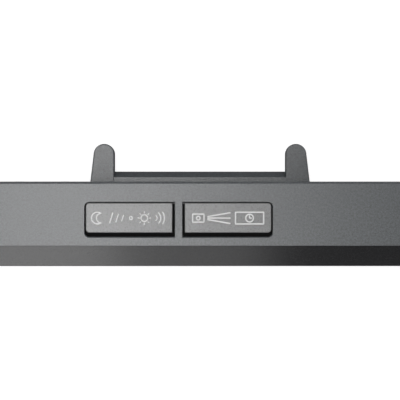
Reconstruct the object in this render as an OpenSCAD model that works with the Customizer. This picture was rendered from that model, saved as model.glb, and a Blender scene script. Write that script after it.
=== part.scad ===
// Projection alarm clock: a slim case with two keys on top, a swivelling
// projector drum in its upper right corner and a flip-out foot at the back.
// X runs along the width, the display faces -Y and Z is up.
// The origin is the centre of the footprint, on the table.

/* [Case] */
// Overall width, projector drum included
case_w = 190; // [180:1:220]
// Height of the case above its pads
case_h = 87; // [84:1:100]
// Depth of the case, front face to back
case_d = 25.5; // [25.5:0.1:32]
// Wall thickness of both case halves
wall = 2; // [1.6:0.1:2.2]
// How far the front bevel runs back from the front face
bevel_run = 6.3; // [5.8:0.1:6.8]
// How far the front bevel falls in from the outline of the case
bevel_drop = 7; // [6:0.1:7.4]
// Corner radius of the case, seen from the front
corner_r = 3; // [1.5:0.1:4]
// Radius of the long edges at the back
rear_edge_r = 0.8; // [0.4:0.1:1.4]
// Length and thickness of the tongue that lines up the two case halves
tongue_l = 1.5; // [1:0.1:1.6]
// Thickness of that tongue
tongue_t = 1.2; // [0.8:0.1:1.4]

/* [Top keys] */
// Middle of the pair of keys, from the middle of the case
key_row_x = -6.4; // [-9:0.1:-4]
// Width of one key window
win_w = 27.05; // [24:0.05:30]
// Depth of the key windows, front to back
win_d = 10.4; // [9.6:0.1:10.8]
// Distance of the key windows from the back of the case
win_from_back = 6.1; // [6.0:0.1:6.6]
// Rib of case between the two windows
win_rib = 2.2; // [2:0.1:3]
// Corner radius at the outer ends of the key pair
key_r = 1.5; // [0.8:0.1:2]
// Gap in front of a key
gap_front = 1.2; // [0.6:0.05:1.5]
// Gap behind a key
gap_back = 0.45; // [0.3:0.05:0.8]
// Gap beside a key, at the outer end
gap_outer = 0.45; // [0.3:0.05:0.8]
// Gap beside a key, at the rib
gap_inner = 0.75; // [0.4:0.05:1]
// How far the keys stand out of the top face
key_proud = 0.5; // [0.2:0.05:0.8]
// Travel of a top key
key_travel = 0.8; // [0.5:0.05:1]

/* [Display] */
// Width of the clear front lens
lens_w = 154; // [150:1:158]
// Height of the clear front lens
lens_h = 63.8; // [62:0.2:66]
// Thickness of the clear front lens
lens_t = 1.2; // [1:0.1:1.4]
// Width of the part of the LCD that shows
view_w = 138; // [130:1:140]
// Height of the part of the LCD that shows
view_h = 52; // [48:1:54]
// Width of the LCD glass
lcd_w = 144; // [142:1:145]
// Height of the LCD glass
lcd_h = 58; // [56:1:60]
// Thickness of the LCD glass
lcd_t = 2.8; // [2.2:0.1:2.8]
// Thickness of the light guide
guide_t = 2.5; // [2:0.1:2.5]
// Thickness of the main circuit board
board_t = 1.6; // [1.2:0.1:1.6]

/* [Foot] */
// Overall width of the flip-out foot, over both legs
foot_w = 74.9; // [68:0.1:80]
// Distance between the inner edges of the legs
foot_gap = 58.1; // [50:0.1:59]
// How far the legs reach behind the case
foot_reach = 13.6; // [12:0.1:18]
// How far the web between the legs reaches behind the case
web_reach = 4.2; // [3.5:0.1:6]
// Length in plan of the web's sloping edge
web_slope = 1.9; // [1.2:0.1:3]
// Thickness of the foot
foot_t = 3.4; // [3:0.1:3.6]
// Radius of the round leg ends
foot_tip_r = 3.4; // [3:0.1:3.8]
// Radius of the hinge pins of the foot
foot_pin_r = 1; // [0.8:0.05:1.2]
// Length of a hinge pin, half of it in the foot
foot_pin_l = 7; // [6:0.5:9]

/* [Projector] */
// Radius of the projector drum
drum_r = 12.5; // [12.3:0.05:12.6]
// Length of the projector drum
drum_l = 19.2; // [18.8:0.1:20]
// Wall thickness of the drum
drum_wall = 1.6; // [1.4:0.1:1.8]
// Gap around the drum
drum_gap = 0.6; // [0.5:0.05:0.8]
// Radius of the hollow hub that the drum turns on
hub_r = 3.5; // [3:0.1:3.8]
// Radius of the projection lens
glass_r = 4.4; // [4:0.1:4.4]
// Outer radius of the lens carrier
carrier_r = 5.22; // [5.2:0.01:5.3]
// Outer radius of the focus ring
ring_r = 6.9; // [6.6:0.1:7.1]
// Travel of the lens when the focus ring turns from stop to stop
focus_travel = 1.2; // [0.8:0.1:1.2]

/* [Back] */
// Radius of the round setting keys
rear_key_r = 3.2; // [2.8:0.1:3.6]
// Distance between setting keys
rear_key_pitch = 14; // [12:0.5:15]
// Height of the row of setting keys
rear_key_z = 62; // [60:0.5:66]
// Travel of a setting key
rear_key_travel = 0.6; // [0.4:0.05:0.6]
// How far the setting keys stand out of the back
rear_key_proud = 0.2; // [0:0.05:0.2]
// Radius of a battery cell, size AAA
cell_r = 5.25; // [5.2:0.05:5.25]
// Length of a battery cell, size AAA
cell_l = 44.5; // [44:0.1:45]
// Height of the lower edge of the battery door
door_z = 25; // [24:0.5:28]
// Inner radius of the DC inlet
jack_r = 2.9; // [2.8:0.05:3.2]
// Radius of the centre pin of the DC inlet
jack_pin_r = 1; // [0.9:0.05:1.3]
// Height of the DC inlet
jack_z = 22; // [20:0.5:26]

/* [Fixings] */
// Thickness of the rubber pads
pad_t = 1.4; // [1.2:0.1:1.8]
// Radius of the rubber pads under the case
pad_r = 3.6; // [3:0.1:3.8]
// Shank radius of the case screws
screw_r = 1.25; // [1.1:0.05:1.4]
// Head radius of the case screws
screw_head_r = 2.3; // [2:0.1:2.4]

/* [Hidden] */
$fn = 64;

// Colours
charcoal = [0.24, 0.25, 0.27];
dark_satin = [0.15, 0.15, 0.17];
soft_black = [0.07, 0.07, 0.08];
rubber_black = [0.05, 0.05, 0.05];
steel = [0.72, 0.73, 0.75];
board_green = [0.05, 0.3, 0.15];
clear = [0.8, 0.88, 0.92, 0.4];
milky = [0.93, 0.94, 0.95];

// Clearances
fit = 0.2; // between parts that are put together by hand
run = 0.05; // radial, between a shaft and its bore
free = 0.5; // round a part that swings or slides past another
eps = 0.01; // overshoot of a cut
far = 100; // larger than any cut has to reach past the part

// Case: where its faces lie
pad_seat = 0.4;
case_z0 = pad_t - pad_seat;
case_z1 = case_z0 + case_h;
case_x1 = case_w / 2;
case_y0 = -(case_d + foot_reach) / 2;
case_y1 = case_y0 + case_d;
seam_y = case_y0 + bevel_run;
inner_y1 = case_y1 - wall;

// Projector drum: its axis, its ends and the notch of the case around it
drum_x0 = case_x1 - drum_l;
drum_y = case_y0 + case_d / 2;
drum_z = case_z1 - drum_r - 0.25;
notch_x = drum_x0 - drum_gap;
notch_z = drum_z - drum_r - drum_gap;

// Front: the parts are stacked from the lens back to the main board
plate_t = 2;
plate_y = case_y0 + plate_t;
lcd_y1 = plate_y + lcd_t;
guide_y1 = lcd_y1 + guide_t;
holder_wall = 1.5;
led_room = 1.45;
board_y0 = guide_y1 + led_room;
board_y1 = board_y0 + board_t;
face_x = (bevel_drop - case_x1 + notch_x) / 2;
face_z = (case_z0 + case_z1) / 2;
lcd_x = [face_x - lcd_w / 2, face_x + lcd_w / 2];
lcd_z = [face_z - lcd_h / 2, face_z + lcd_h / 2];
contact_ledge = 3;
backlight_pitch = 16;
zebra_from_end = 12;
sharp_r = 0.4; // corner radius left where an inset is larger than the corner

// Main board, its ears and the posts of the bezel that it is screwed to
board_over = 2; // how far the board stands out past the LCD glass, up and down
board_x = [lcd_x[0] - holder_wall, lcd_x[1] + holder_wall];
board_z = [lcd_z[0] - board_over, lcd_z[1] + board_over];
post_r = 2.2;
board_ear_r = post_r + 0.4;
post_from_end = 20;
post_in_wall = 0.8; // from the edge of the hollow to the middle of a post
post_x = [lcd_x[0] + post_from_end, lcd_x[1] - post_from_end];
post_z = [case_z0 + bevel_drop - post_in_wall, case_z1 - bevel_drop + post_in_wall];
post_y0 = seam_y - 2.6;
post_screw_r = 0.9;
post_screw_head_r = 1.8;
post_screw_l = 6;

// Case screws
boss_r = 3.1;
boss_inset = 8.5;
boss_at = [[-case_x1 + boss_inset, case_z0 + boss_inset + 0.5],
    [case_x1 - boss_inset, case_z0 + boss_inset + 0.5],
    [-case_x1 + boss_inset, case_z1 - boss_inset],
    [notch_x - 11, case_z1 - boss_inset - 0.5]];
sink_depth = 3;
sink_r = screw_head_r + 0.3;
screw_bite = 4;

// Top keys: the left window and key; the right ones are their mirror image
win_x = [key_row_x - win_rib / 2 - win_w, key_row_x - win_rib / 2];
win_y = [case_y1 - win_from_back - win_d, case_y1 - win_from_back];
key_x = [win_x[0] + gap_outer, win_x[1] - gap_inner];
key_y = [win_y[0] + gap_front, win_y[1] - gap_back];
key_top_z = case_z1 + key_proud;
key_skin = 1.5;
flange_t = 1;
flange_out = 0.65;
flange_z1 = case_z1 - wall;
flange_z0 = flange_z1 - flange_t;
plunger_r = 1.6;
plunger_z = flange_z0 - 0.5;
dome_free = 0.05; // left between a pressed key and its dome
dome_h = 2;
dome_r = [3, 2];
mat_t = 0.8;
mat_z1 = plunger_z - key_travel - dome_free - dome_h;
top_board_z1 = mat_z1 - mat_t;
top_board_t = 1.2;
top_board_margin = 6.5;
top_post_r = 2.5;
top_post_inset = 2.8;
top_screw_r = 0.9;
top_screw_l = 4;
top_screw_head = [1.7, 1.2];
top_board_x = [win_x[0] - top_board_margin, 2 * key_row_x - win_x[0] + top_board_margin];
key_mid = [(key_x[0] + key_x[1]) / 2, (key_y[0] + key_y[1]) / 2];

// Setting keys on the back, from the one that is leftmost seen from the front
rear_keys = ["set_key", "alarm_key", "up_key", "down_key", "channel_key"];
rear_row_shift = 49.6; // from the middle of the display to the first setting key
rear_key_x0 = face_x - rear_row_shift;
rear_key_hole = 0.2;
rear_flange_t = 1;
rear_flange_out = 0.9;
rear_stem_r = 1.5;
rear_mat_t = 0.8;
rear_dome_h = 1.8;
rear_dome_r = [3, 2.1];
rear_stem_y = board_y1 + rear_mat_t + rear_dome_h + rear_key_travel + dome_free;
rear_mat_margin = 5.5;

// Slide switch
switch_shift = 38;
switch_x = face_x + switch_shift;
switch_body = [12, 4, 6.4];
switch_slot_h = 2.8;
switch_travel = 3;
knob_w = 4;
knob_flange_t = 0.8;
knob_flange_h = 4.8;
knob_proud = 0.2;
rail_t = 1.2;

// DC inlet, from the main board out to the back wall
jack_from_end = 28;
jack_x = -case_x1 + jack_from_end;
jack_body = [9, 11];
jack_depth = 9.5;

// Buzzer behind its sound holes
buzzer_from_end = 12;
buzzer_x = case_x1 - buzzer_from_end;
buzzer_z = 33;
buzzer_r = 8;
buzzer_t = 4;
sound_hole_r = 0.8;
sound_ring_r = 3.4;

// Battery bay, cells and door
contact_room = 2.6;
contact_t = 0.4;
bay_wall = 1.6;
bay_x1 = cell_l / 2 + contact_room + contact_t;
bay_h = 4 * cell_r + 0.9;
bay_y0 = inner_y1 - 2 * cell_r - 0.4;
door_lap = 1;
bay_z = [door_z + door_lap, door_z + door_lap + bay_h];
door_x1 = bay_x1 + door_lap;
door_z1 = bay_z[1] + door_lap;
cell_y = inner_y1 - cell_r - 0.2;
cell_z = [bay_z[0] + 0.3 + cell_r, bay_z[1] - 0.3 - cell_r];
nub_r = 1.9;
nub_l = 0.8;
spring_wire_r = 0.3;
spring_turns = 3;
spring_r = [3.6, 2.2];
hook_w = 6;
hook_x = 15;
hook_y = [case_y1 - 3.4, case_y1 - wall - fit];
hook_drop = 1.5;
hook_rise = 2.4;
thumb_r = 6;
thumb_depth = 1.1;

// Foot: its hinge and its outline, which swings up into a recess in the back
hinge_z = case_z0 + foot_t / 2;
hinge_y = case_y1 - hinge_z;
leg_end_y = case_y1 + foot_reach;
tip_y = leg_end_y - foot_tip_r;
tip_x = foot_gap / 2 + foot_tip_r;
foot_z = [case_z0, case_z0 + foot_t];
web_y1 = case_y1 + web_reach;
recess_x = foot_w / 2 + 0.4;
recess_y = hinge_y - foot_t / 2 - 0.3;
recess_z = hinge_z + (leg_end_y - hinge_y) + free;
recess_wall = 1.5;
leg_pad_r = foot_tip_r - 1;

// Pads under the case, clear of the foot's recess
pad_x = case_x1 - 20;
pad_y = [seam_y + pad_r + 0.4, case_y1 - rear_edge_r - pad_r];

// Inside of the drum: heights are counted from its axis, towards the lens
optic_x = (drum_x0 + case_x1) / 2;
drum_cap_t = 1.6;
drum_cup_x1 = case_x1 - drum_cap_t;
cup_x0 = drum_x0 + drum_wall;
cup_r = drum_r - drum_wall - 0.05;
spigot_l = 0.8;
spigot_t = 1.2;
hub_bore_r = 2.2;
retainer_t = 1.2;
retainer_r = hub_r + 1.1;
hub_groove = 0.5;
retainer_x1 = notch_x - wall;
hub_x0 = retainer_x1 - retainer_t - 0.6;
washer_r = hub_r + 2.5;
pocket_r = ring_r + 0.2;
pocket_floor = 9.3;
floor_t = 1.4;
floor_rim = 0.7;
bore_r = carrier_r + 0.08;
ring_top = 12.4;
ring_grooves = 24;
ring_groove_r = 0.35;
holder_r = bore_r + 1;
holder_h = [-7.5, pocket_floor - floor_t];
brace_h = [-2.5, -1];
brace_half_y = 9;
ledge_h = [-0.7, 0];
ledge_r = bore_r - 1.1;
led_board_t = 1;
led_r = 1.5;
led_l = 2.5;
condenser_r = bore_r - 0.1;
condenser_t = [0.8, 1.4];
slide_w = 7.2;
slide_t = 1.1;
carrier_h = [3, 10.6];
carrier_wall = 0.75;
seat_h = 7.4;
seat_r = glass_r - 0.6;
glass_t = 2.6;

// --- Drawing helpers --------------------------------------------------

// A block between pairs of limits
module block(x, y, z) {
    translate([x[0], y[0], z[0]]) cube([x[1] - x[0], y[1] - y[0], z[1] - z[0]]);
}

// Round bars along each direction
module bar_x(y, z, x0, x1, r) {
    translate([x0, y, z]) rotate([0, 90, 0]) cylinder(r = r, h = x1 - x0);
}
module bar_y(x, z, y0, y1, r) {
    translate([x, y1, z]) rotate([90, 0, 0]) cylinder(r = r, h = y1 - y0);
}
module bar_z(x, y, z0, z1, r) {
    translate([x, y, z0]) cylinder(r = r, h = z1 - z0);
}

// Carry an outline along a direction
module along_x(x0, x1) {
    translate([x0, 0, 0]) rotate([90, 0, 90]) linear_extrude(x1 - x0) children();
}
module along_y(y0, y1) {
    translate([0, y1, 0]) rotate([90, 0, 0]) linear_extrude(y1 - y0) children();
}

// A rectangle between pairs of limits, with round corners
module rounded(a, b, r) {
    translate([a[0] + r, b[0]]) square([a[1] - a[0] - 2 * r, b[1] - b[0]]);
    translate([a[0], b[0] + r]) square([a[1] - a[0], b[1] - b[0] - 2 * r]);
    for (u = [a[0] + r, a[1] - r], v = [b[0] + r, b[1] - r]) translate([u, v]) circle(r);
}

// The case seen from the front, drawn in by an inset, with the drum's notch
module outline(inset, notch_inset) {
    r = max(corner_r - inset, sharp_r);
    difference() {
        rounded([-case_x1 + inset, case_x1 - inset], [case_z0 + inset, case_z1 - inset], r);
        translate([notch_x - notch_inset, notch_z - notch_inset]) square([far, far]);
    }
}

// What belongs to the right-hand key is the mirror image of the left
module right_hand() {
    translate([2 * key_row_x, 0, 0]) mirror([1, 0, 0]) children();
}

// A rectangle whose left-hand corners are round
module left_rounded(x, y, r) {
    translate([x[0] + r, y[0]]) square([x[1] - x[0] - r, y[1] - y[0]]);
    translate([x[0], y[0] + r]) square([r, y[1] - y[0] - 2 * r]);
    for (v = [y[0] + r, y[1] - r]) translate([x[0] + r, v]) circle(r);
}

// A plain screw: shank forward of the head, both along Y
module screw_y(x, z, head_y, shank_l, r, head_r, head_t) {
    bar_y(x, z, head_y - shank_l, head_y, r);
    bar_y(x, z, head_y, head_y + head_t, head_r);
}

// --- Case ---------------------------------------------------------------

// The outer form of the front half: its outline cut by four bevels
module bezel_form() {
    z_in = [case_z0 + bevel_drop, case_z1 - bevel_drop];
    x_in = case_x1 - bevel_drop;
    intersection() {
        along_y(case_y0, seam_y) outline(0, 0);
        along_x(-case_x1, case_x1) polygon([[seam_y, case_z0], [seam_y, case_z1],
            [case_y0, z_in[1]], [case_y0, z_in[0]]]);
        translate([0, 0, case_z0]) linear_extrude(case_h) polygon([[-case_x1, seam_y],
            [-x_in, case_y0], [x_in, case_y0], [case_x1, seam_y]]);
    }
}

module front_bezel() color(dark_satin) difference() {
    union() {
        difference() {
            bezel_form();
            along_y(plate_y, seam_y + eps) outline(bevel_drop, wall);
        }
        along_y(seam_y - eps, seam_y + tongue_l) difference() {
            outline(wall + fit, wall + fit);
            outline(wall + fit + tongue_t, wall + fit + tongue_t);
        }
        for (x = post_x, z = post_z) bar_y(x, z, post_y0, board_y0, post_r);
        for (p = boss_at) bar_y(p[0], p[1], plate_y - eps, seam_y, boss_r);
    }
    // seat of the front lens and the display window
    block([face_x - lens_w / 2 - fit, face_x + lens_w / 2 + fit],
        [case_y0 - far, case_y0 + lens_t],
        [face_z - lens_h / 2 - fit, face_z + lens_h / 2 + fit]);
    block([face_x - view_w / 2, face_x + view_w / 2], [case_y0, plate_y + eps],
        [face_z - view_h / 2, face_z + view_h / 2]);
    for (x = post_x, z = post_z)
        bar_y(x, z, board_y0 - post_screw_l, board_y0 + eps, post_screw_r + run);
    for (p = boss_at)
        bar_y(p[0], p[1], seam_y - screw_bite, seam_y + far, screw_r + run);
}

// The outer form of the rear half, its back edges rounded
module casing_form() {
    front = seam_y - corner_r;
    intersection() {
        along_y(seam_y, case_y1) outline(0, 0);
        along_x(-case_x1, case_x1)
            rounded([front, case_y1], [case_z0, case_z1], rear_edge_r);
        translate([0, 0, case_z0]) linear_extrude(case_h)
            rounded([-case_x1, case_x1], [front, case_y1], rear_edge_r);
    }
}

module key_window() {
    translate([0, 0, case_z1 - wall - eps]) linear_extrude(wall + 1)
        left_rounded(win_x, win_y, key_r);
}

module key_board_post() {
    x = top_board_x[0] + top_post_inset;
    difference() {
        bar_z(x, key_mid[1], top_board_z1, flange_z1 + eps, top_post_r);
        bar_z(x, key_mid[1], top_board_z1 - eps, top_board_z1 + top_screw_l,
            top_screw_r + run);
    }
}

module hook_pocket(x) {
    block([x - hook_w / 2 - 0.4, x + hook_w / 2 + 0.4],
        [case_y1 - 4, case_y1 - wall], [door_z - bay_wall, bay_z[0] + eps]);
}

module main_casing() color(charcoal) difference() {
    union() {
        difference() {
            casing_form();
            along_y(seam_y - eps, inner_y1) outline(wall, wall);
        }
        key_board_post();
        right_hand() key_board_post();
        for (p = boss_at) bar_y(p[0], p[1], seam_y, inner_y1 + eps, boss_r);
        block([-recess_x - recess_wall, recess_x + recess_wall],
            [recess_y - recess_wall, inner_y1 + eps],
            [case_z0 + wall - eps, recess_z + recess_wall]);
        block([-bay_x1 - bay_wall, bay_x1 + bay_wall], [bay_y0 - bay_wall, inner_y1 + eps],
            [bay_z[0] - bay_wall, bay_z[1] + bay_wall]);
        for (s = [-1, 1]) {
            z = rear_key_z + s * (switch_body[2] / 2 + fit + rail_t / 2);
            block([switch_x - switch_body[0] / 2, switch_x + switch_body[0] / 2],
                [inner_y1 - knob_flange_t - fit - switch_body[1], inner_y1 + eps],
                [z - rail_t / 2, z + rail_t / 2]);
        }
    }
    key_window();
    right_hand() key_window();
    // recess that the foot folds into, open below and behind
    block([-recess_x, recess_x], [recess_y, far], [-far, recess_z]);
    for (s = [-1, 1]) {
        x = s * (foot_w / 2 + foot_pin_l / 4);
        bar_x(hinge_y, hinge_z, x - foot_pin_l / 4 - run, x + foot_pin_l / 4 + run,
            foot_pin_r + run);
    }
    // battery bay and the opening of its door
    block([-bay_x1, bay_x1], [bay_y0, inner_y1 + eps], bay_z);
    block([-door_x1 - fit, door_x1 + fit], [inner_y1, far], [door_z, door_z1 + fit]);
    for (s = [-1, 1]) hook_pocket(s * hook_x);
    bar_y(0, door_z1, case_y1 - thumb_depth, case_y1 + 1, thumb_r);
    for (i = [0 : len(rear_keys) - 1])
        bar_y(rear_key_x0 + i * rear_key_pitch, rear_key_z, inner_y1 - eps, case_y1 + 1,
            rear_key_r + rear_key_hole);
    block([switch_x - knob_w / 2 - fit, switch_x + knob_w / 2 + switch_travel + fit],
        [inner_y1 - eps, case_y1 + 1],
        [rear_key_z - switch_slot_h / 2, rear_key_z + switch_slot_h / 2]);
    bar_y(jack_x, jack_z, inner_y1 - eps, case_y1 + 1, jack_r + 0.9);
    bar_y(buzzer_x, buzzer_z, inner_y1 - eps, case_y1 + 1, sound_hole_r);
    for (a = [0 : 60 : 300])
        bar_y(buzzer_x + sound_ring_r * cos(a), buzzer_z + sound_ring_r * sin(a),
            inner_y1 - eps, case_y1 + 1, sound_hole_r);
    for (p = boss_at) {
        bar_y(p[0], p[1], seam_y - eps, case_y1 + 1, screw_r + run);
        bar_y(p[0], p[1], case_y1 - sink_depth, case_y1 + 1, sink_r);
    }
    bar_x(drum_y, drum_z, notch_x - wall - eps, notch_x + eps, hub_r + run);
    for (x = [-pad_x, pad_x], y = pad_y)
        bar_z(x, y, case_z0 - eps, case_z0 + pad_seat, pad_r);
}

module case_screws() color(steel) for (p = boss_at) {
    head_y = case_y1 - sink_depth;
    screw_y(p[0], p[1], head_y, head_y - seam_y + screw_bite - 0.3, screw_r,
        screw_head_r, 1.8);
}

module case_pads() color(rubber_black) for (x = [-pad_x, pad_x], y = pad_y)
    bar_z(x, y, 0, pad_t, pad_r);

// --- Display ------------------------------------------------------------

module display_lens() color(clear)
    block([face_x - lens_w / 2, face_x + lens_w / 2], [case_y0, case_y0 + lens_t],
        [face_z - lens_h / 2, face_z + lens_h / 2]);

module lcd_panel() color(milky) block(lcd_x, [plate_y, lcd_y1], lcd_z);

module light_guide() color(milky) block([lcd_x[0] + 4, lcd_x[1] - 1],
    [lcd_y1, guide_y1], [lcd_z[0] + contact_ledge, lcd_z[1]]);

module backlight_leds() color([0.95, 0.95, 0.8]) for (i = [-1 : 1])
    block([lcd_x[0] + 0.5, lcd_x[0] + 3.5], [guide_y1 - 1, board_y0],
        [face_z + i * backlight_pitch - 1.4, face_z + i * backlight_pitch + 1.4]);

module lcd_holder() color(milky) along_y(plate_y, board_y0) difference() {
    rounded([lcd_x[0] - holder_wall - fit, lcd_x[1] + holder_wall + fit],
        [lcd_z[0] - holder_wall - fit, lcd_z[1] + holder_wall + fit], 1);
    translate([lcd_x[0] - fit, lcd_z[0] - fit]) square([lcd_w + 2 * fit, lcd_h + 2 * fit]);
}

module zebra_strip() color(rubber_black)
    block([lcd_x[0] + zebra_from_end, lcd_x[1] - zebra_from_end], [lcd_y1, board_y0],
        [lcd_z[0] + 0.3, lcd_z[0] + 2.3]);

module main_board() color(board_green) along_y(board_y0, board_y1) difference() {
    union() {
        translate([board_x[0], board_z[0]])
            square([board_x[1] - board_x[0], board_z[1] - board_z[0]]);
        for (x = post_x) {
            translate([x - board_ear_r, post_z[0]])
                square([2 * board_ear_r, post_z[1] - post_z[0]]);
            for (z = post_z) translate([x, z]) circle(board_ear_r);
        }
    }
    for (x = post_x, z = post_z) translate([x, z]) circle(post_screw_r + fit);
}

module board_screws() color(steel) for (x = post_x, z = post_z)
    screw_y(x, z, board_y1, board_t + post_screw_l - 0.5, post_screw_r,
        post_screw_head_r, 1.3);

// --- Top keys -----------------------------------------------------------

module top_key() {
    mid = key_mid;
    difference() {
        union() {
            translate([0, 0, flange_z0]) linear_extrude(key_top_z - flange_z0)
                left_rounded(key_x, key_y, key_r - gap_back);
            block([win_x[0] - flange_out, win_x[1] + flange_out],
                [win_y[0] - flange_out, win_y[1] + flange_out], [flange_z0, flange_z1]);
        }
        block([key_x[0] + key_skin, key_x[1] - key_skin],
            [key_y[0] + key_skin, key_y[1] - key_skin],
            [flange_z0 - eps, key_top_z - key_skin]);
    }
    bar_z(mid[0], mid[1], plunger_z, key_top_z - key_skin + eps, plunger_r);
}

module snooze_light_key() color(charcoal) top_key();

module projection_key() color(charcoal) right_hand() top_key();

module top_key_mat() color(rubber_black) {
    block([win_x[0], 2 * key_row_x - win_x[0]], win_y, [top_board_z1, mat_z1]);
    for (x = [key_mid[0], 2 * key_row_x - key_mid[0]])
        translate([x, key_mid[1], mat_z1 - eps])
            cylinder(r1 = dome_r[0], r2 = dome_r[1], h = dome_h + eps);
}

module top_key_board() color(board_green) difference() {
    block(top_board_x, win_y, [top_board_z1 - top_board_t, top_board_z1]);
    for (x = [top_board_x[0] + top_post_inset, top_board_x[1] - top_post_inset])
        bar_z(x, key_mid[1], top_board_z1 - far, top_board_z1 + 1, top_screw_r + fit);
}

module top_board_screws() color(steel)
    for (x = [top_board_x[0] + top_post_inset, top_board_x[1] - top_post_inset]) {
        z0 = top_board_z1 - top_board_t;
        bar_z(x, key_mid[1], z0, top_board_z1 + top_screw_l - 0.5, top_screw_r);
        bar_z(x, key_mid[1], z0 - top_screw_head[1], z0, top_screw_head[0]);
    }

// --- Back ---------------------------------------------------------------

module setting_key(i) color(soft_black) {
    x = rear_key_x0 + i * rear_key_pitch;
    bar_y(x, rear_key_z, inner_y1 - eps, case_y1 + rear_key_proud, rear_key_r);
    bar_y(x, rear_key_z, inner_y1 - rear_flange_t, inner_y1, rear_key_r + rear_flange_out);
    bar_y(x, rear_key_z, rear_stem_y, inner_y1 - rear_flange_t + eps, rear_stem_r);
}

module rear_key_mat() color(rubber_black) {
    last = rear_key_x0 + (len(rear_keys) - 1) * rear_key_pitch;
    block([rear_key_x0 - rear_mat_margin, last + rear_mat_margin],
        [board_y1, board_y1 + rear_mat_t], [rear_key_z - 4.5, rear_key_z + 4.5]);
    for (i = [0 : len(rear_keys) - 1])
        translate([rear_key_x0 + i * rear_key_pitch, board_y1 + rear_mat_t - eps, rear_key_z])
            rotate([-90, 0, 0])
                cylinder(r1 = rear_dome_r[0], r2 = rear_dome_r[1], h = rear_dome_h + eps);
}

module slide_switch() color(steel) {
    y1 = inner_y1 - knob_flange_t - fit;
    block([switch_x - switch_body[0] / 2, switch_x + switch_body[0] / 2],
        [y1 - switch_body[1], y1],
        [rear_key_z - switch_body[2] / 2, rear_key_z + switch_body[2] / 2]);
}

module switch_knob() color(soft_black) {
    block([switch_x - knob_w / 2 - 1.4, switch_x + knob_w / 2 + 1.4],
        [inner_y1 - knob_flange_t, inner_y1],
        [rear_key_z - knob_flange_h / 2, rear_key_z + knob_flange_h / 2]);
    block([switch_x - knob_w / 2, switch_x + knob_w / 2],
        [inner_y1 - eps, case_y1 + knob_proud],
        [rear_key_z - switch_slot_h / 2 + fit, rear_key_z + switch_slot_h / 2 - fit]);
}

module dc_jack() color(soft_black) difference() {
    union() {
        block([jack_x - jack_body[0] / 2, jack_x + jack_body[0] / 2], [board_y1, inner_y1],
            [jack_z - jack_body[1] / 2, jack_z + jack_body[1] / 2]);
        bar_y(jack_x, jack_z, inner_y1 - eps, case_y1 - 0.4, jack_r + 0.7);
    }
    bar_y(jack_x, jack_z, case_y1 - jack_depth, case_y1 + 1, jack_r);
}

module jack_pin() color(steel)
    bar_y(jack_x, jack_z, case_y1 - jack_depth, case_y1 - 1.2, jack_pin_r);

module buzzer() color(soft_black)
    bar_y(buzzer_x, buzzer_z, inner_y1 - buzzer_t, inner_y1, buzzer_r);

module battery_door() color(charcoal) {
    difference() {
        block([-door_x1, door_x1], [inner_y1, case_y1], [door_z, door_z1]);
        bar_y(0, door_z1, case_y1 - thumb_depth, case_y1 + 1, thumb_r);
    }
    for (x = [-hook_x, hook_x]) {
        block([x - hook_w / 2, x + hook_w / 2], [hook_y[0], inner_y1 + eps],
            [bay_z[0] + 0.1, door_z + hook_rise]);
        block([x - hook_w / 2, x + hook_w / 2], hook_y,
            [door_z - hook_drop + 0.5, door_z + hook_rise]);
    }
}

// Cells lie side by side with their positive ends opposite
module battery_cells() color([0.2, 0.35, 0.6]) for (i = [0, 1]) {
    way = i == 0 ? 1 : -1;
    x = [-cell_l / 2, cell_l / 2 - nub_l];
    translate([0, cell_y, cell_z[i]]) rotate([0, way * 90, 0]) {
        translate([0, 0, x[0]]) cylinder(r = cell_r, h = x[1] - x[0]);
        translate([0, 0, x[1] - eps]) cylinder(r = nub_r, h = nub_l + eps);
    }
}

// Wire ring number i of the cone spring, along X from 0 to its length
function spring_ring(i, n, l, sides) = let(t = i / n, a = 360 * spring_turns * t,
    r = spring_r[0] + (spring_r[1] - spring_r[0]) * t)
    [for (k = [0 : sides - 1]) let(b = 360 * k / sides, q = r + spring_wire_r * cos(b))
        [spring_wire_r + (l - 2 * spring_wire_r) * t + spring_wire_r * sin(b),
            q * cos(a), q * sin(a)]];

module cone_spring(l) {
    n = 24 * spring_turns;
    sides = 8;
    points = [for (i = [0 : n]) each spring_ring(i, n, l, sides)];
    skin = [for (i = [0 : n - 1], k = [0 : sides - 1]) let(a = i * sides + k,
        b = i * sides + (k + 1) % sides) [a, b, b + sides, a + sides]];
    ends = [[for (k = [sides - 1 : -1 : 0]) k], [for (k = [0 : sides - 1]) n * sides + k]];
    polyhedron(points, concat(skin, ends));
}

module contact_springs() color(steel) {
    translate([-cell_l / 2 - contact_room, cell_y, cell_z[0]]) cone_spring(contact_room);
    translate([cell_l / 2 + contact_room, cell_y, cell_z[1]])
        rotate([0, 0, 180]) cone_spring(contact_room);
}

module contact_plates() color(steel) for (s = [-1, 1], z = cell_z) {
    x = s * (bay_x1 - contact_t / 2);
    block([x - contact_t / 2, x + contact_t / 2], [cell_y - 4.4, cell_y + 4.4],
        [z - 4.4, z + 4.4]);
    if ((s > 0) == (z == cell_z[0]))
        translate([x, cell_y, z]) rotate([0, -s * 90, 0])
            cylinder(r1 = 3.4, r2 = 2.2, h = contact_room + contact_t / 2);
}

// --- Foot ---------------------------------------------------------------

module leg_outline() {
    x_out = foot_w / 2;
    polygon([[foot_gap / 2, hinge_y], [x_out, hinge_y], [x_out, case_y1],
        [tip_x + foot_tip_r, tip_y], [foot_gap / 2, tip_y]]);
    translate([tip_x, tip_y]) circle(foot_tip_r);
}

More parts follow.
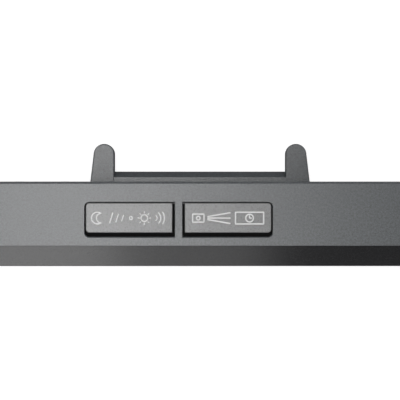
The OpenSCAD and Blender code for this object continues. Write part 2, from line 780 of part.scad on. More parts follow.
module stand_foot() color(charcoal) difference() {
    union() {
        bar_x(hinge_y, hinge_z, -foot_w / 2, foot_w / 2, foot_t / 2);
        for (s = [0, 1]) mirror([s, 0, 0]) translate([0, 0, foot_z[0]])
            linear_extrude(foot_t) leg_outline();
        along_x(-foot_gap / 2 - eps, foot_gap / 2 + eps)
            polygon([[hinge_y, foot_z[0]], [hinge_y, foot_z[1]],
                [web_y1 - web_slope, foot_z[1]], [web_y1, foot_z[0]]]);
    }
    for (s = [-1, 1]) {
        x = s * (foot_w / 2 - foot_pin_l / 4);
        bar_x(hinge_y, hinge_z, x - foot_pin_l / 4 - eps, x + foot_pin_l / 4 + eps,
            foot_pin_r);
        bar_z(s * tip_x, tip_y, foot_z[0] - eps, foot_z[0] + pad_seat, leg_pad_r);
    }
}

module stand_pins() color(steel) for (s = [-1, 1])
    bar_x(hinge_y, hinge_z, s * foot_w / 2 - foot_pin_l / 2,
        s * foot_w / 2 + foot_pin_l / 2, foot_pin_r);

module stand_pads() color(rubber_black) for (s = [-1, 1])
    bar_z(s * tip_x, tip_y, 0, pad_t, leg_pad_r);

// --- Projector ----------------------------------------------------------

// A round bar along the drum's light path, between two heights
module lightway(h, r) {
    translate([optic_x, drum_y, drum_z + h[0]]) cylinder(r = r, h = h[1] - h[0]);
}

module drum_shell() color(charcoal) difference() {
    union() {
        difference() {
            bar_x(drum_y, drum_z, drum_x0, drum_cup_x1, drum_r);
            bar_x(drum_y, drum_z, cup_x0, drum_cup_x1 + 1, drum_r - drum_wall);
        }
        // floor under the focus ring, trimmed to the drum
        intersection() {
            bar_x(drum_y, drum_z, drum_x0, drum_cup_x1 - spigot_l - run, drum_r);
            lightway([pocket_floor - floor_t, drum_r], pocket_r + floor_rim);
        }
        bar_x(drum_y, drum_z, hub_x0, drum_x0 + eps, hub_r);
    }
    lightway([pocket_floor, drum_r + 1], pocket_r);
    lightway([0, drum_r], bore_r);
    bar_x(drum_y, drum_z, hub_x0 - 1, cup_x0 + eps, hub_bore_r);
    difference() {
        bar_x(drum_y, drum_z, retainer_x1 - retainer_t, retainer_x1, hub_r + 1);
        bar_x(drum_y, drum_z, retainer_x1 - retainer_t - 1, retainer_x1 + 1,
            hub_r - hub_groove);
    }
}

module drum_cap() color(dark_satin) {
    bar_x(drum_y, drum_z, drum_cup_x1, case_x1 - 0.6, drum_r);
    translate([case_x1 - 0.6 - eps, drum_y, drum_z]) rotate([0, 90, 0])
        cylinder(r1 = drum_r, r2 = drum_r - 0.6, h = 0.6 + eps);
    difference() {
        bar_x(drum_y, drum_z, drum_cup_x1 - spigot_l, drum_cup_x1 + eps, cup_r);
        bar_x(drum_y, drum_z, drum_cup_x1 - spigot_l - 1, drum_cup_x1, cup_r - spigot_t);
    }
}

// Clip with a mouth, pushed into the groove of the hub
module drum_retainer() color(steel) difference() {
    bar_x(drum_y, drum_z, retainer_x1 - retainer_t, retainer_x1, retainer_r);
    bar_x(drum_y, drum_z, retainer_x1 - far, retainer_x1 + 1, hub_r - hub_groove + run);
    block([retainer_x1 - far, retainer_x1 + 1], [drum_y - 1.8, drum_y + 1.8],
        [drum_z - far, drum_z]);
}

module friction_washer() color(steel) difference() {
    bar_x(drum_y, drum_z, notch_x, drum_x0, washer_r);
    bar_x(drum_y, drum_z, notch_x - 1, drum_x0 + 1, hub_r + run);
}

module optics_holder() color(soft_black) difference() {
    union() {
        lightway(holder_h, holder_r);
        block([cup_x0, drum_cup_x1], [drum_y - brace_half_y, drum_y + brace_half_y],
            [drum_z + brace_h[0], drum_z + brace_h[1]]);
    }
    difference() {
        lightway([holder_h[0] - 1, holder_h[1] + 1], bore_r);
        difference() {
            lightway(ledge_h, bore_r + eps);
            lightway([ledge_h[0] - 1, ledge_h[1] + 1], ledge_r);
        }
    }
}

module led_board() color(board_green)
    lightway([holder_h[0] - led_board_t, holder_h[0]], holder_r);

module projector_led() color([0.95, 0.3, 0.25]) {
    lightway([holder_h[0], holder_h[0] + led_l], led_r);
    translate([optic_x, drum_y, drum_z + holder_h[0] + led_l]) intersection() {
        sphere(r = led_r);
        cylinder(r = led_r + 1, h = led_r + 1);
    }
}

// Flat towards the image slide and domed towards the LED
module condenser_lens() color(clear)
    translate([optic_x, drum_y, drum_z + ledge_h[0]]) rotate([180, 0, 0]) {
        cylinder(r = condenser_r, h = condenser_t[0]);
        translate([0, 0, condenser_t[0] - eps])
            cylinder(r1 = condenser_r, r2 = condenser_r / 2, h = condenser_t[1]);
    }

module image_slide() color(soft_black)
    block([optic_x - slide_w / 2, optic_x + slide_w / 2],
        [drum_y - slide_w / 2, drum_y + slide_w / 2], [drum_z, drum_z + slide_t]);

module lens_carrier() color(soft_black) difference() {
    lightway(carrier_h, carrier_r);
    lightway([carrier_h[0] - 1, carrier_h[1] + 1], seat_r);
    lightway([seat_h, carrier_h[1] + 1], glass_r + run);
}

// Plano-convex, its dome outwards
module projection_lens() color(clear) {
    dome_t = 0.9;
    dome_r = (glass_r * glass_r + dome_t * dome_t) / (2 * dome_t);
    lightway([seat_h, seat_h + glass_t - dome_t], glass_r);
    intersection() {
        translate([optic_x, drum_y, drum_z + seat_h + glass_t - dome_r]) sphere(r = dome_r);
        lightway([seat_h + glass_t - dome_t - eps, seat_h + glass_t + 1], glass_r);
    }
}

module focus_ring() color(soft_black) difference() {
    lightway([pocket_floor, ring_top], ring_r);
    lightway([pocket_floor - 1, ring_top + 1], bore_r);
    for (i = [0 : ring_grooves - 1]) {
        a = 360 * i / ring_grooves;
        translate([optic_x + ring_r * cos(a), drum_y + ring_r * sin(a),
            drum_z + pocket_floor - 1]) cylinder(r = ring_groove_r, h = far, $fn = 16);
    }
}

front_bezel();
main_casing();
display_lens();
lcd_panel();
light_guide();
backlight_leds();
lcd_holder();
zebra_strip();
main_board();
board_screws();
case_screws();
snooze_light_key();
projection_key();
top_key_mat();
top_key_board();
top_board_screws();
for (i = [0 : len(rear_keys) - 1])
    setting_key(i);
rear_key_mat();
slide_switch();
switch_knob();
dc_jack();
jack_pin();
buzzer();
battery_door();
battery_cells();
contact_springs();
contact_plates();
stand_foot();
stand_pins();
stand_pads();
case_pads();
drum_shell();
drum_cap();
drum_retainer();
friction_washer();
optics_holder();
led_board();
projector_led();
condenser_lens();
image_slide();
lens_carrier();
projection_lens();
focus_ring();
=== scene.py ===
"""Projection alarm clock: a slim case with two keys on top, a swivelling projector drum in its
upper right corner and a flip-out foot at the back. X runs along the width, the display faces
-Y, Z is up and the table is at Z = 0. The clock's lengths are written in mm, and those of the
table, the lights and the camera in metres."""
import math

import bmesh
import bpy
import numpy as np
from mathutils import Matrix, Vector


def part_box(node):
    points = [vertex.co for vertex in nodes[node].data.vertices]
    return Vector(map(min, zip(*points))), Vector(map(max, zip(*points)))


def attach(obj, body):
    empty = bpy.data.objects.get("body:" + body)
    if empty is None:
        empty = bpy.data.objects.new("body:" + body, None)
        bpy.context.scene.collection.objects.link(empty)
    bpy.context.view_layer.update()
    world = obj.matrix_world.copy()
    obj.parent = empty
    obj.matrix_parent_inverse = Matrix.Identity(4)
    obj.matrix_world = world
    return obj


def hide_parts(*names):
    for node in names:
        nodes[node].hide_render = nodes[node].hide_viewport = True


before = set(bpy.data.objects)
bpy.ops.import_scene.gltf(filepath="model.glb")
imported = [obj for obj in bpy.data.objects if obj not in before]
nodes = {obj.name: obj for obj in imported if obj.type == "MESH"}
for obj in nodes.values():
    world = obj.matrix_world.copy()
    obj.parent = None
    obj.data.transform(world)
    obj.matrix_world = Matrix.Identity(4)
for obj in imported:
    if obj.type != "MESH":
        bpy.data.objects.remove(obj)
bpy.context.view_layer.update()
MM = 0.001


# --- Main casing --------------------------------------------
# The rear half of the case, injection moulded in charcoal ABS. Its mould is spark-eroded,
# which leaves an even matt grain, and its outer edges are rounded off by the mould.

def feed(tree, node, inputs):
    """Fills inputs of a node, by name or number: a socket is linked, another value is set."""
    for name, value in inputs.items():
        if isinstance(value, bpy.types.NodeSocket):
            tree.links.new(value, node.inputs[name])
        else:
            node.inputs[name].default_value = value


def add(tree, kind, inputs=None, **settings):
    """A new shader node with its settings and its inputs."""
    node = tree.nodes.new("ShaderNode" + kind)
    for name, value in settings.items():
        setattr(node, name, value)
    feed(tree, node, inputs or {})
    return node


def skin_group():
    """Node group of a spark-eroded skin: fine grain for height and gloss, and soft clouds that
    lighten and darken the colour."""
    group = bpy.data.node_groups.new("spark_eroded_skin", "ShaderNodeTree")
    face = group.interface
    face.new_socket("Colour", in_out="INPUT", socket_type="NodeSocketColor")
    for name, value in (("Grain", 3500.0), ("Cloud", 420.0), ("Mottle", 0.1),
                        ("Roughness", 0.5), ("Roughness swing", 0.1)):
        face.new_socket(name, in_out="INPUT", socket_type="NodeSocketFloat").default_value = value
    face.new_socket("Colour", in_out="OUTPUT", socket_type="NodeSocketColor")
    face.new_socket("Roughness", in_out="OUTPUT", socket_type="NodeSocketFloat")
    face.new_socket("Height", in_out="OUTPUT", socket_type="NodeSocketFloat")
    given, end = group.nodes.new("NodeGroupInput").outputs, group.nodes.new("NodeGroupOutput")
    place = add(group, "TexCoord").outputs["Object"]
    grain = add(group, "TexNoise", {"Vector": place, "Scale": given["Grain"], "Detail": 3.0,
                                    "Roughness": 0.65}).outputs["Fac"]
    cloud = add(group, "TexNoise", {"Vector": place, "Scale": given["Cloud"], "Detail": 5.0,
                                    "Roughness": 0.7}).outputs["Fac"]
    both = add(group, "Math", {0: grain, 1: cloud}, operation="ADD").outputs[0]
    centred = add(group, "Math", {0: both, 1: 1.0}, operation="SUBTRACT").outputs[0]
    shade = add(group, "Math", {0: centred, 1: given["Mottle"], 2: 1.0},
                operation="MULTIPLY_ADD")
    tint = add(group, "VectorMath", {0: given["Colour"], "Scale": shade.outputs[0]},
               operation="SCALE")
    gloss = add(group, "Math", {0: centred, 1: given["Roughness swing"], 2: given["Roughness"]},
                operation="MULTIPLY_ADD")
    feed(group, end, {"Colour": tint.outputs[0], "Roughness": gloss.outputs[0], "Height": grain})
    return group


skin = skin_group()


def shading_of(material):
    """The node tree of a material and the principled shader in it."""
    material.use_nodes = True
    return material.node_tree, material.node_tree.nodes["Principled BSDF"]


def moulded(name, colour, roughness, grain=3500.0, depth=0.012, mottle=0.1, specular=0.5,
            cloud=420.0):
    """Opaque moulded plastic or rubber: colour in linear RGB, depth of the grain in mm."""
    made = bpy.data.materials.new(name)
    tree, shader = shading_of(made)
    surface = add(tree, "Group", {"Colour": (*colour, 1.0), "Grain": grain, "Cloud": cloud,
                                  "Mottle": mottle, "Roughness": roughness}, node_tree=skin)
    bump = add(tree, "Bump", {"Distance": depth * MM, "Height": surface.outputs["Height"]})
    feed(tree, shader, {"Base Color": surface.outputs["Colour"],
                        "Roughness": surface.outputs["Roughness"],
                        "Normal": bump.outputs["Normal"], "Specular IOR Level": specular})
    made.diffuse_color = (*colour, 1.0)
    return made


def read(items, field, width=1, kind=float):
    """A field of a mesh's elements as an array, with a row for each where it has a width."""
    values = np.empty(len(items) * width, kind)
    items.foreach_get(field, values)
    return values.reshape(-1, width) if width > 1 else values


def box_mm(node):
    """Lowest and highest corner of a CAD node, in mm."""
    return [np.array(corner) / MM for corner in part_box(node)]


def even_normals(piece):
    """Shades flat faces flat up to their rounded edges, through normals weighted by area."""
    even = piece.modifiers.new("even_normals", "WEIGHTED_NORMAL")
    even.keep_sharp = True
    even.weight = 100


def in_scene(name, data):
    """A new object with its mesh, lamp or camera, put into the scene."""
    made = bpy.data.objects.new(name, data)
    bpy.context.scene.collection.objects.link(made)
    return made


same_place = 0.002  # mm between doubles
same_plane, crease = 0.4, 28.0  # degrees between faces that are one, and across an edge


def moulding(node, body, rounding, share, materials, steps=3):
    """A copy of a moulded solid with its doubles merged and its flat faces joined, and with
    its outside corners rounded. share(mid, n1, n2) gives the part of the full rounding that
    an edge gets, from its middle in mm and the normals of its two faces."""
    mesh = bpy.data.meshes.new(node + "_skin")
    work = bmesh.new()
    work.from_mesh(nodes[node].data)
    bmesh.ops.remove_doubles(work, verts=work.verts, dist=same_place * MM)
    bmesh.ops.dissolve_limit(work, angle_limit=math.radians(same_plane), verts=work.verts,
                             edges=work.edges, use_dissolve_boundaries=False)
    work.to_mesh(mesh)
    work.free()
    points = read(mesh.vertices, "co", 3) / MM
    middles = points[read(mesh.edges, "vertices", 2, int)].mean(1)
    totals = read(mesh.polygons, "loop_total", kind=int)
    order = np.argsort(read(mesh.loops, "edge_index", kind=int), kind="stable")
    faces = np.repeat(np.arange(len(totals)), totals)[order].reshape(-1, 2)
    normals = read(mesh.polygons, "normal", 3)
    n1, n2 = normals[faces[:, 0]], normals[faces[:, 1]]
    sharp = (n1 * n2).sum(1) < math.cos(math.radians(crease))
    # an outside corner: n1 x n2 points the way in which the first face runs along the edge
    corner = read(mesh.loops, "vertex_index", kind=int)
    starts = np.cumsum(totals) - totals
    following = np.arange(1, len(corner) + 1)
    following[starts + totals - 1] = starts
    first = order.reshape(-1, 2)[:, 0]
    way = points[corner[following[first]]] - points[corner[first]]
    outside = (np.cross(n1, n2) * way).sum(1) > 0.0
    weights = np.where(sharp & outside, np.clip(share(middles, n1, n2), 0.0, 1.0), 0.0)
    mesh.attributes.new("bevel_weight_edge", "FLOAT", "EDGE").data.foreach_set("value", weights)
    mesh.polygons.foreach_set("use_smooth", np.ones(len(totals), bool))
    mesh.attributes.new("sharp_edge", "BOOLEAN", "EDGE").data.foreach_set(
        "value", sharp & (weights == 0.0))
    for material in materials:
        mesh.materials.append(material)
    mesh.update()
    piece = in_scene(node + "_skin", mesh)
    bevel = piece.modifiers.new("rounding", "BEVEL")
    bevel.limit_method = "WEIGHT"
    bevel.width = rounding * MM
    bevel.segments = steps
    bevel.use_clamp_overlap = False
    bevel.material = len(materials) - 1
    even_normals(piece)
    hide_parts(node)
    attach(piece, body)
    return piece


case_colour = (0.056, 0.062, 0.067)
case_plastic = moulded("case_plastic", case_colour, 0.31, mottle=2.2, cloud=1500.0)
case_edge = moulded("case_edge", tuple(1.06 * c for c in case_colour), 0.29, depth=0.004)
case_low, case_high = box_mm("main_casing")
near = 0.01  # mm from a plane within which a point counts as on it
windows_at, windows_reach = (-6.4, -5.35), (29.0, 5.4)  # both windows' middle, half their span
window_front, window_turn = -8.9, 1.6  # where the front corners start, how far they reach
notch_x, notch_z = 75.2, 62.0  # left and lower side of the notch for the drum
outside_share, seam_share, window_share, corner_rise = 0.4, 0.15, 0.1, 0.7


def casing_share(mid, n1, n2):
    """A fine rounding round the key windows that grows along their front, a trace at the seam,
    and rather less than half of the full one on the rest of the outside."""
    top = mid[:, 2] > case_high[2] - near
    in_row = (np.abs(mid[:, :2] - windows_at) < windows_reach).all(1)
    back = mid[:, 1] > case_high[1] - near
    front = mid[:, 1] < case_low[1] + near
    notch = (mid[:, 0] > notch_x - 0.1) & (mid[:, 2] > notch_z)
    under = mid[:, 2] < case_low[2] + near
    side = np.abs(mid[:, 0]) > case_high[0] - near
    share = np.zeros(len(mid))
    share[back | under | notch | top] = outside_share
    window = top & in_row
    turn = np.clip((window_front - mid[window, 1]) / window_turn, 0.0, 1.0)
    share[window] = window_share + corner_rise * turn
    share[front & (top | side | under | notch)] = seam_share
    return share


moulding("main_casing", "clock_case", 0.55, casing_share,
         (case_plastic, case_edge))


# --- Front bezel --------------------------------------------
# The front half of the case, moulded in a darker ABS with a finer, silkier skin, screwed on
# from behind. Its four outer faces slope in to the display.

bezel_plastic = moulded("bezel_plastic", (0.018, 0.018, 0.0195), 0.2, grain=2400.0, depth=0.004,
                        mottle=1.2, cloud=1500.0)
bezel_front = box_mm("front_bezel")[0][1]
slope_lean = -0.743  # Y of the normal of the sloping faces


def bezel_share(mid, n1, n2):
    """Full rounding on the front's outer and inner rims and on the ridges and free end of the
    slopes."""
    slope1, slope2 = (np.abs(n[:, 1] - slope_lean) < 0.02 for n in (n1, n2))
    at_notch = (slope1 | slope2) & (np.abs(mid[:, 0] - notch_x) < 0.1)
    return ((mid[:, 1] < bezel_front + 0.05) | (slope1 & slope2) | at_notch).astype(float)


moulding("front_bezel", "clock_case", 0.3, bezel_share,
         (bezel_plastic, bezel_plastic))


# --- Top keys -----------------------------------------------
# Two keys of grey ABS, each moulded in one piece with a flange under the case that keeps it
# in. Their sides are darkened with painted shade, to black down in the gap, except behind.

key_colour = (0.118, 0.119, 0.120)
key_edge = moulded("key_edge", key_colour, 0.3, depth=0.004)
key_plastic = moulded("key_plastic", key_colour, 0.285, mottle=0.8, cloud=1500.0)
key_top, key_rear = 88.5, -0.8
black_z, clear_z = 87.2, 88.1
flange_top, lean_most, lean_from, lean_run = 87.0, 0.12, -2.6, 2.0


def place_of(tree):
    """Sockets with the X, Y and Z of the shaded point, in metres."""
    place = add(tree, "TexCoord").outputs["Object"]
    return add(tree, "SeparateXYZ", {"Vector": place}).outputs


def ramp(tree, value, low, high):
    """0 up to low, 1 from high on, with an even rise between them."""
    return add(tree, "MapRange", {"Value": value, "From Min": low,
                                  "From Max": high}).outputs["Result"]


def mixed(tree, part, first, second):
    """The first colour where part is 0 and the second where it is 1."""
    return add(tree, "Mix", {"Factor": part, "A": first, "B": second},
               data_type="RGBA").outputs["Result"]


def shaded_below(material, low_z, high_z, rear_y):
    """Darkens and dulls a finish with depth, as painted shade: not above high_z, and to a matt
    black under low_z, both in mm. Behind rear_y it keeps its colour."""
    tree, shader = shading_of(material)
    colour = shader.inputs["Base Color"].links[0].from_socket
    gloss = shader.inputs["Roughness"].links[0].from_socket
    place = place_of(tree)
    height = ramp(tree, place["Z"], low_z * MM, high_z * MM)
    behind = add(tree, "Math", {0: place["Y"], 1: rear_y * MM}, operation="GREATER_THAN")
    unshaded = add(tree, "Math", {0: behind.outputs[0], 1: height}, operation="MAXIMUM")
    depth = add(tree, "Math", {0: 1.0, 1: height}, operation="SUBTRACT")
    rough = add(tree, "Math", {0: depth.outputs[0], 1: gloss}, operation="ADD", use_clamp=True)
    # painted shade: the black that the keys' sides fade to down in the gap
    painted_gap_shade = (0.001, 0.001, 0.001, 1.0)
    feed(tree, shader, {"Base Color": mixed(tree, unshaded.outputs[0], painted_gap_shade, colour),
                        "Roughness": rough.outputs[0]})


def key_share(mid, n1, n2):
    """The top rim is rounded all round."""
    return (mid[:, 2] > key_top - 0.1).astype(float)


# painted shade in the gap round the keys: their sides darken to black with depth
shaded_below(key_plastic, black_z, clear_z, key_rear)
for node, body in (("snooze_light_key", "snooze_light_button"),
                   ("projection_key", "projection_button")):
    key = moulding(node, body, 0.2, key_share, (key_plastic, key_edge))
    # above the flange the rear wall leans out a little, to a hairline gap behind the key
    corners = read(key.data.vertices, "co", 3)
    lean = np.clip((corners[:, 1] / MM - lean_from) / lean_run, 0.0, 1.0)
    corners[:, 1] += lean_most * MM * lean * (corners[:, 2] > flange_top * MM)
    key.data.vertices.foreach_set("co", corners.ravel())


# --- Foot ---------------------------------------------------
# One U-shaped moulding of the case's own plastic, on two steel pins. Its legs have round ends
# and soft inner rims, and the web between them slopes down to the table.

turned = {0: (2, 0, 1), 1: (1, 2, 0), 2: (0, 1, 2)}  # columns of a form drawn across X, Y or Z
fold = 50.0  # degrees from which an edge between made faces is sharp


def arc(middle, radius, start, stop, count):
    """Points on an arc from start to stop, in degrees."""
    a = np.radians(np.linspace(start, stop, count))
    return np.array(middle) + radius * np.stack([np.cos(a), np.sin(a)], 1)


def slab(outline, low, high, rim_low, rim_high, axis=2, steps=6):
    """A plate with rounded rims, as one closed surface. Ring k is the outline, which runs
    anticlockwise, drawn in by r (1 - cos a) along its mitres and set at r (1 - sin a) from the
    face, with a from 90 degrees at the face to 0 at the side and r the rim's radius, which may
    change along the outline. The plate lies across the given axis."""
    outline = np.asarray(outline, float)
    edge = np.roll(outline, -1, 0) - outline
    edge = edge / np.linalg.norm(edge, axis=1)[:, None]
    outward = np.stack([edge[:, 1], -edge[:, 0]], 1)
    before = np.roll(outward, 1, 0)
    mitre = (outward + before) / (1.0 + (outward * before).sum(1))[:, None]
    a = np.radians(np.linspace(90.0, 0.0, steps))[:, None]
    rim_low, rim_high = (np.broadcast_to(r, len(outline))[None] for r in (rim_low, rim_high))
    inset = np.concatenate([rim_low * (1 - np.cos(a)), (rim_high * (1 - np.cos(a)))[::-1]])
    height = np.concatenate([low + rim_low * (1 - np.sin(a)),
                             (high - rim_high * (1 - np.sin(a)))[::-1]])
    flat = outline[None] - mitre[None] * inset[..., None]
    grid = np.concatenate([flat, height[..., None]], 2)
    rows, count = grid.shape[:2]
    i, j = np.meshgrid(np.arange(rows - 1), np.arange(count), indexing="ij")
    here, beside = (i * count + j).ravel(), (i * count + (j + 1) % count).ravel()
    quads = np.stack([here, beside, beside + count, here + count], 1)
    caps = [list(range(count))[::-1], list(range((rows - 1) * count, rows * count))]
    return grid.reshape(-1, 3)[:, turned[axis]] * MM, quads.tolist() + caps


def body_of(name, parts, materials, body, slot, *replaced, painted=0):
    """One object from several closed surfaces of points and faces, the last few painted with
    the last material."""
    points = np.concatenate([p for p, f in parts])
    starts = np.cumsum([0] + [len(p) for p, f in parts])
    faces = [[v + int(start) for v in face] for (p, f), start in zip(parts, starts) for face in f]
    mesh = bpy.data.meshes.new(name)
    mesh.from_pydata(points.tolist(), [], faces)
    mesh.polygons.foreach_set("use_smooth", np.ones(len(faces), bool))
    mesh.set_sharp_from_angle(angle=math.radians(fold))
    for material in materials:
        mesh.materials.append(material)
    plain = sum(len(f) for p, f in parts[:len(parts) - painted])
    mesh.polygons.foreach_set("material_index", (np.arange(len(faces)) >= plain).astype(int))
    mesh.update()
    piece = in_scene(name, mesh)
    even_normals(piece)
    if replaced:
        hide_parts(*replaced)
    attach(piece, body)
    return piece


leg_inner, leg_outer, leg_root = 29.05, 37.45, 5.95
tip, tip_r = (32.65, 15.95), 3.6
foot_low, foot_high, hinge, bar_r = 1.0, 4.4, (3.25, 2.7), 1.7
web_toe, web_crest, toe_cut, crest_cut = 10.15, 8.15, 0.15, (0.18, 0.12)
foot_rim = 0.3
leg = np.concatenate([[(leg_inner, hinge[0]), (leg_outer, hinge[0]), (leg_outer, leg_root)],
                      arc(tip, tip_r, 0, 180, 40)])
inner_share = np.concatenate([[1.0, 0.0, 0.0], np.linspace(0.0, 1.0, 40)])
rim = 0.35 + 0.15 * inner_share ** 2
right_leg = slab(leg, foot_low, foot_high, foot_rim, rim)
left_leg = slab((leg * (-1, 1))[::-1], foot_low, foot_high, foot_rim, rim[::-1])
web_section = [(hinge[0], foot_low), (web_toe - toe_cut, foot_low),
               (web_toe, foot_low + toe_cut),
               (web_crest + crest_cut[0], foot_high - crest_cut[1]), (web_crest, foot_high),
               (hinge[0], foot_high)]
web = slab(web_section, -leg_inner - 0.2, leg_inner + 0.2, 0.0, 0.0, axis=0, steps=2)
bar = slab(arc(hinge, bar_r, 0, 345, 24), -leg_outer, leg_outer, 0.0, 0.0, axis=0, steps=2)
body_of("foot_moulding", (right_leg, left_leg, web, bar), (case_plastic,), "foot",
        "case_plastic", "stand_foot")


# --- Marks on the top keys ----------------------------------
# Pictures raised on the keys by the mould and inked on top: moon, dozing strokes, dot, sun and
# sound waves on the left, and a projector, its beam and a screen with a dial on the right.

arched = [(1, -0.6), (1, 0.3), (0.95, 0.7), (0.85, 0.92), (0.7, 1)]
square = [(1, -0.5), (1, 1)]


def ridge(path, width, height, base, closed=False, axis=2, turns=4, half=arched):
    """A rib along a path of points. half is half of its section, as parts of half the width
    and of the height above base. The rows at a free end shrink by sin b and step out by half
    the width times cos b, with b from 12 to 70 degrees, which rounds it off."""
    path = np.asarray(path, float)
    if closed:
        along = np.roll(path, -1, 0) - np.roll(path, 1, 0)
    else:
        along = np.gradient(path, axis=0)
    along = along / np.linalg.norm(along, axis=1)[:, None]
    sizes = np.ones(len(path))
    if not closed:
        b = np.radians(np.linspace(12.0, 70.0, turns))
        head = path[0] - along[0] * (width / 2 * np.cos(b))[:, None]
        tail = path[-1] + along[-1] * (width / 2 * np.cos(b[::-1]))[:, None]
        path = np.concatenate([head, path, tail])
        along = np.concatenate([np.repeat(along[:1], turns, 0), along,
                                np.repeat(along[-1:], turns, 0)])
        sizes = np.concatenate([np.sin(b), sizes, np.sin(b[::-1])])
    across = np.stack([-along[:, 1], along[:, 0]], 1)
    section = np.array(half + [(-u, h) for u, h in half[::-1]], float)
    u = section[:, 0] * width / 2
    h = section[:, 1] * height
    flat_points = path[:, None] + across[:, None] * (u[None] * sizes[:, None])[..., None]
    rise = base + h[None] * sizes[:, None]
    grid = np.concatenate([flat_points, rise[..., None]], 2)
    rows, count = grid.shape[:2]
    last = rows if closed else rows - 1
    i, j = np.meshgrid(np.arange(last), np.arange(count), indexing="ij")
    k, n = (i + 1) % rows, (j + 1) % count
    quads = np.stack([i * count + j, i * count + n, k * count + n, k * count + j], -1)
    quads = quads.reshape(-1, 4).tolist()
    if not closed:
        quads += [list(range(count))[::-1], list(range((rows - 1) * count, rows * count))]
    return grid.reshape(-1, 3)[:, turned[axis]] * MM, quads


def line(*points, step=0.15):
    """Points at even steps along straight lines between the given ones."""
    points = np.array(points, float)
    spans = np.linalg.norm(np.diff(points, axis=0), axis=1)
    place = np.concatenate([[0.0], np.cumsum(spans)])
    t = np.linspace(0.0, place[-1], max(3, int(place[-1] / step) + 1))
    return np.stack([np.interp(t, place, points[:, 0]), np.interp(t, place, points[:, 1])], 1)


def inked_above(material, ink, low_z, high_z):
    """Rolls an ink on to what stands higher than low_z, and fully above high_z, in mm."""
    tree, shader = shading_of(material)
    cover = ramp(tree, place_of(tree)["Z"], low_z * MM, high_z * MM)
    bare = shader.inputs["Base Color"].links[0].from_socket
    feed(tree, shader, {"Base Color": mixed(tree, cover, bare, ink)})


mark_y, stroke, raised = -4.98, 0.44, 0.22
mark_plastic = moulded("inked_marks", key_colour, 0.3, depth=0.0003)
inked_above(mark_plastic, (0.72, 0.72, 0.72, 1.0), key_top + 0.7 * raised,
            key_top + 0.85 * raised)


def marks(name, body, *paths):
    """The ribs of a key's picture, from paths round the middle line of the keys, each open or
    closed."""
    ribs = [ridge(path + (0.0, mark_y), stroke, raised, key_top, closed)
            for path, closed in paths]
    return body_of(name, ribs, (mark_plastic,), body, "key_plastic")


sun, horn = np.array((-16.6, 0.0)), (-13.8, 0.0)
rays = [(line(sun + 1.5 * way, sun + 1.95 * way), False) for way in arc((0, 0), 1.0, 0, 315, 8)]
marks("snooze_light_marks", "snooze_light_button",
      (arc((-30.6, 0), 1.75, 52, 308, 40), False),
      (arc((-29.55, 0), 1.36, 97, 263, 24), False),
      (line((-27.0, -1.6), (-26.0, 1.6)), False),
      (line((-25.1, -1.25), (-24.3, 1.25)), False),
      (line((-23.4, -0.9), (-22.8, 0.9)), False),
      (arc((-20.6, 0), 0.45, 0, 330, 12), True),
      (arc(sun, 1.0, 0, 345, 24), True), *rays,
      (arc(horn, 1.0, -50, 50, 10), False),
      (arc(horn, 2.1, -50, 50, 16), False),
      (arc(horn, 3.2, -33, 33, 16), False))
marks("projection_marks", "projection_button",
      (line((-2.2, -1.2), (1.2, -1.2), (1.2, 1.2), (-2.2, 1.2), (-2.2, -1.0)), False),
      (arc((-0.5, 0), 0.55, 0, 330, 12), True),
      (line((2.3, 0.0), (9.0, 0.0)), False),
      (line((2.3, 0.45), (9.0, 1.6)), False),
      (line((2.3, -0.45), (9.0, -1.6)), False),
      (line((10.6, -1.75), (19.0, -1.75), (19.0, 1.75), (10.6, 1.75), (10.6, -1.55)), False),
      (arc((14.8, 0), 1.15, 0, 345, 24), True),
      (line((14.8, 0.75), (14.8, 0.0), (15.4, 0.0)), False))


# --- Display ------------------------------------------------
# A clear acrylic lens let flush into the bezel, and behind it the glass of a segment LCD with
# its silvery reflector. Dark segments stand out against it, unlit ones show faintly.

def box_outline(x0, x1, y0, y1, r, count=7):
    """A rectangle with round corners, anticlockwise."""
    corners = ((x1 - r, y0 + r), (x1 - r, y1 - r), (x0 + r, y1 - r), (x0 + r, y0 + r))
    return np.concatenate([arc(corner, r, 90 * k - 90, 90 * k, count)
                           for k, corner in enumerate(corners)])


def mirrored(outline):
    """(x, z) points turned into the (z, x) order of a plate that lies across Y."""
    return np.asarray(outline)[::-1, ::-1]


def glassy(name, colour, ior, haze_low=0.02, haze_high=0.06):
    """Clear material with a faint wiped haze in its gloss. Light that lands on something
    behind it passes straight through."""
    made = bpy.data.materials.new(name)
    tree, shader = shading_of(made)
    place = add(tree, "TexCoord").outputs["Object"]
    wipe = add(tree, "TexNoise", {"Vector": place, "Scale": 60.0})
    haze = add(tree, "MapRange", {"Value": wipe.outputs["Fac"], "To Min": haze_low,
                                  "To Max": haze_high})
    feed(tree, shader, {"Base Color": (*colour, 1.0), "Transmission Weight": 1.0, "IOR": ior,
                        "Roughness": haze.outputs["Result"]})
    path, through = add(tree, "LightPath"), add(tree, "BsdfTransparent")
    either = add(tree, "MixShader", {0: path.outputs["Is Shadow Ray"], 1: shader.outputs[0],
                                     2: through.outputs[0]})
    feed(tree, tree.nodes["Material Output"], {"Surface": either.outputs[0]})
    made.diffuse_color = (*colour, 0.3)
    return made


clear = glassy("clear_window", (0.97, 0.98, 0.98), 1.49)
# black print for the back of the lens, also put on its sides as painted shade
ink_and_painted_edge_shade = moulded("ink_and_painted_edge_shade", (0.008, 0.008, 0.009), 0.6, depth=0.0005, specular=0.2)
lens_low, lens_high = box_mm("display_lens")
tape = 0.03  # between the lens and the ledge that it is stuck to
lens_back = lens_high[1] - tape
window = slab(mirrored(box_outline(lens_low[0], lens_high[0], lens_low[2], lens_high[2], 0.5)),
              lens_low[1], lens_back, 0.25, 0.05, axis=1)
display_window = body_of("display_window", (window,), (clear, ink_and_painted_edge_shade), "clock_case",
                         "clear_window", "display_lens")
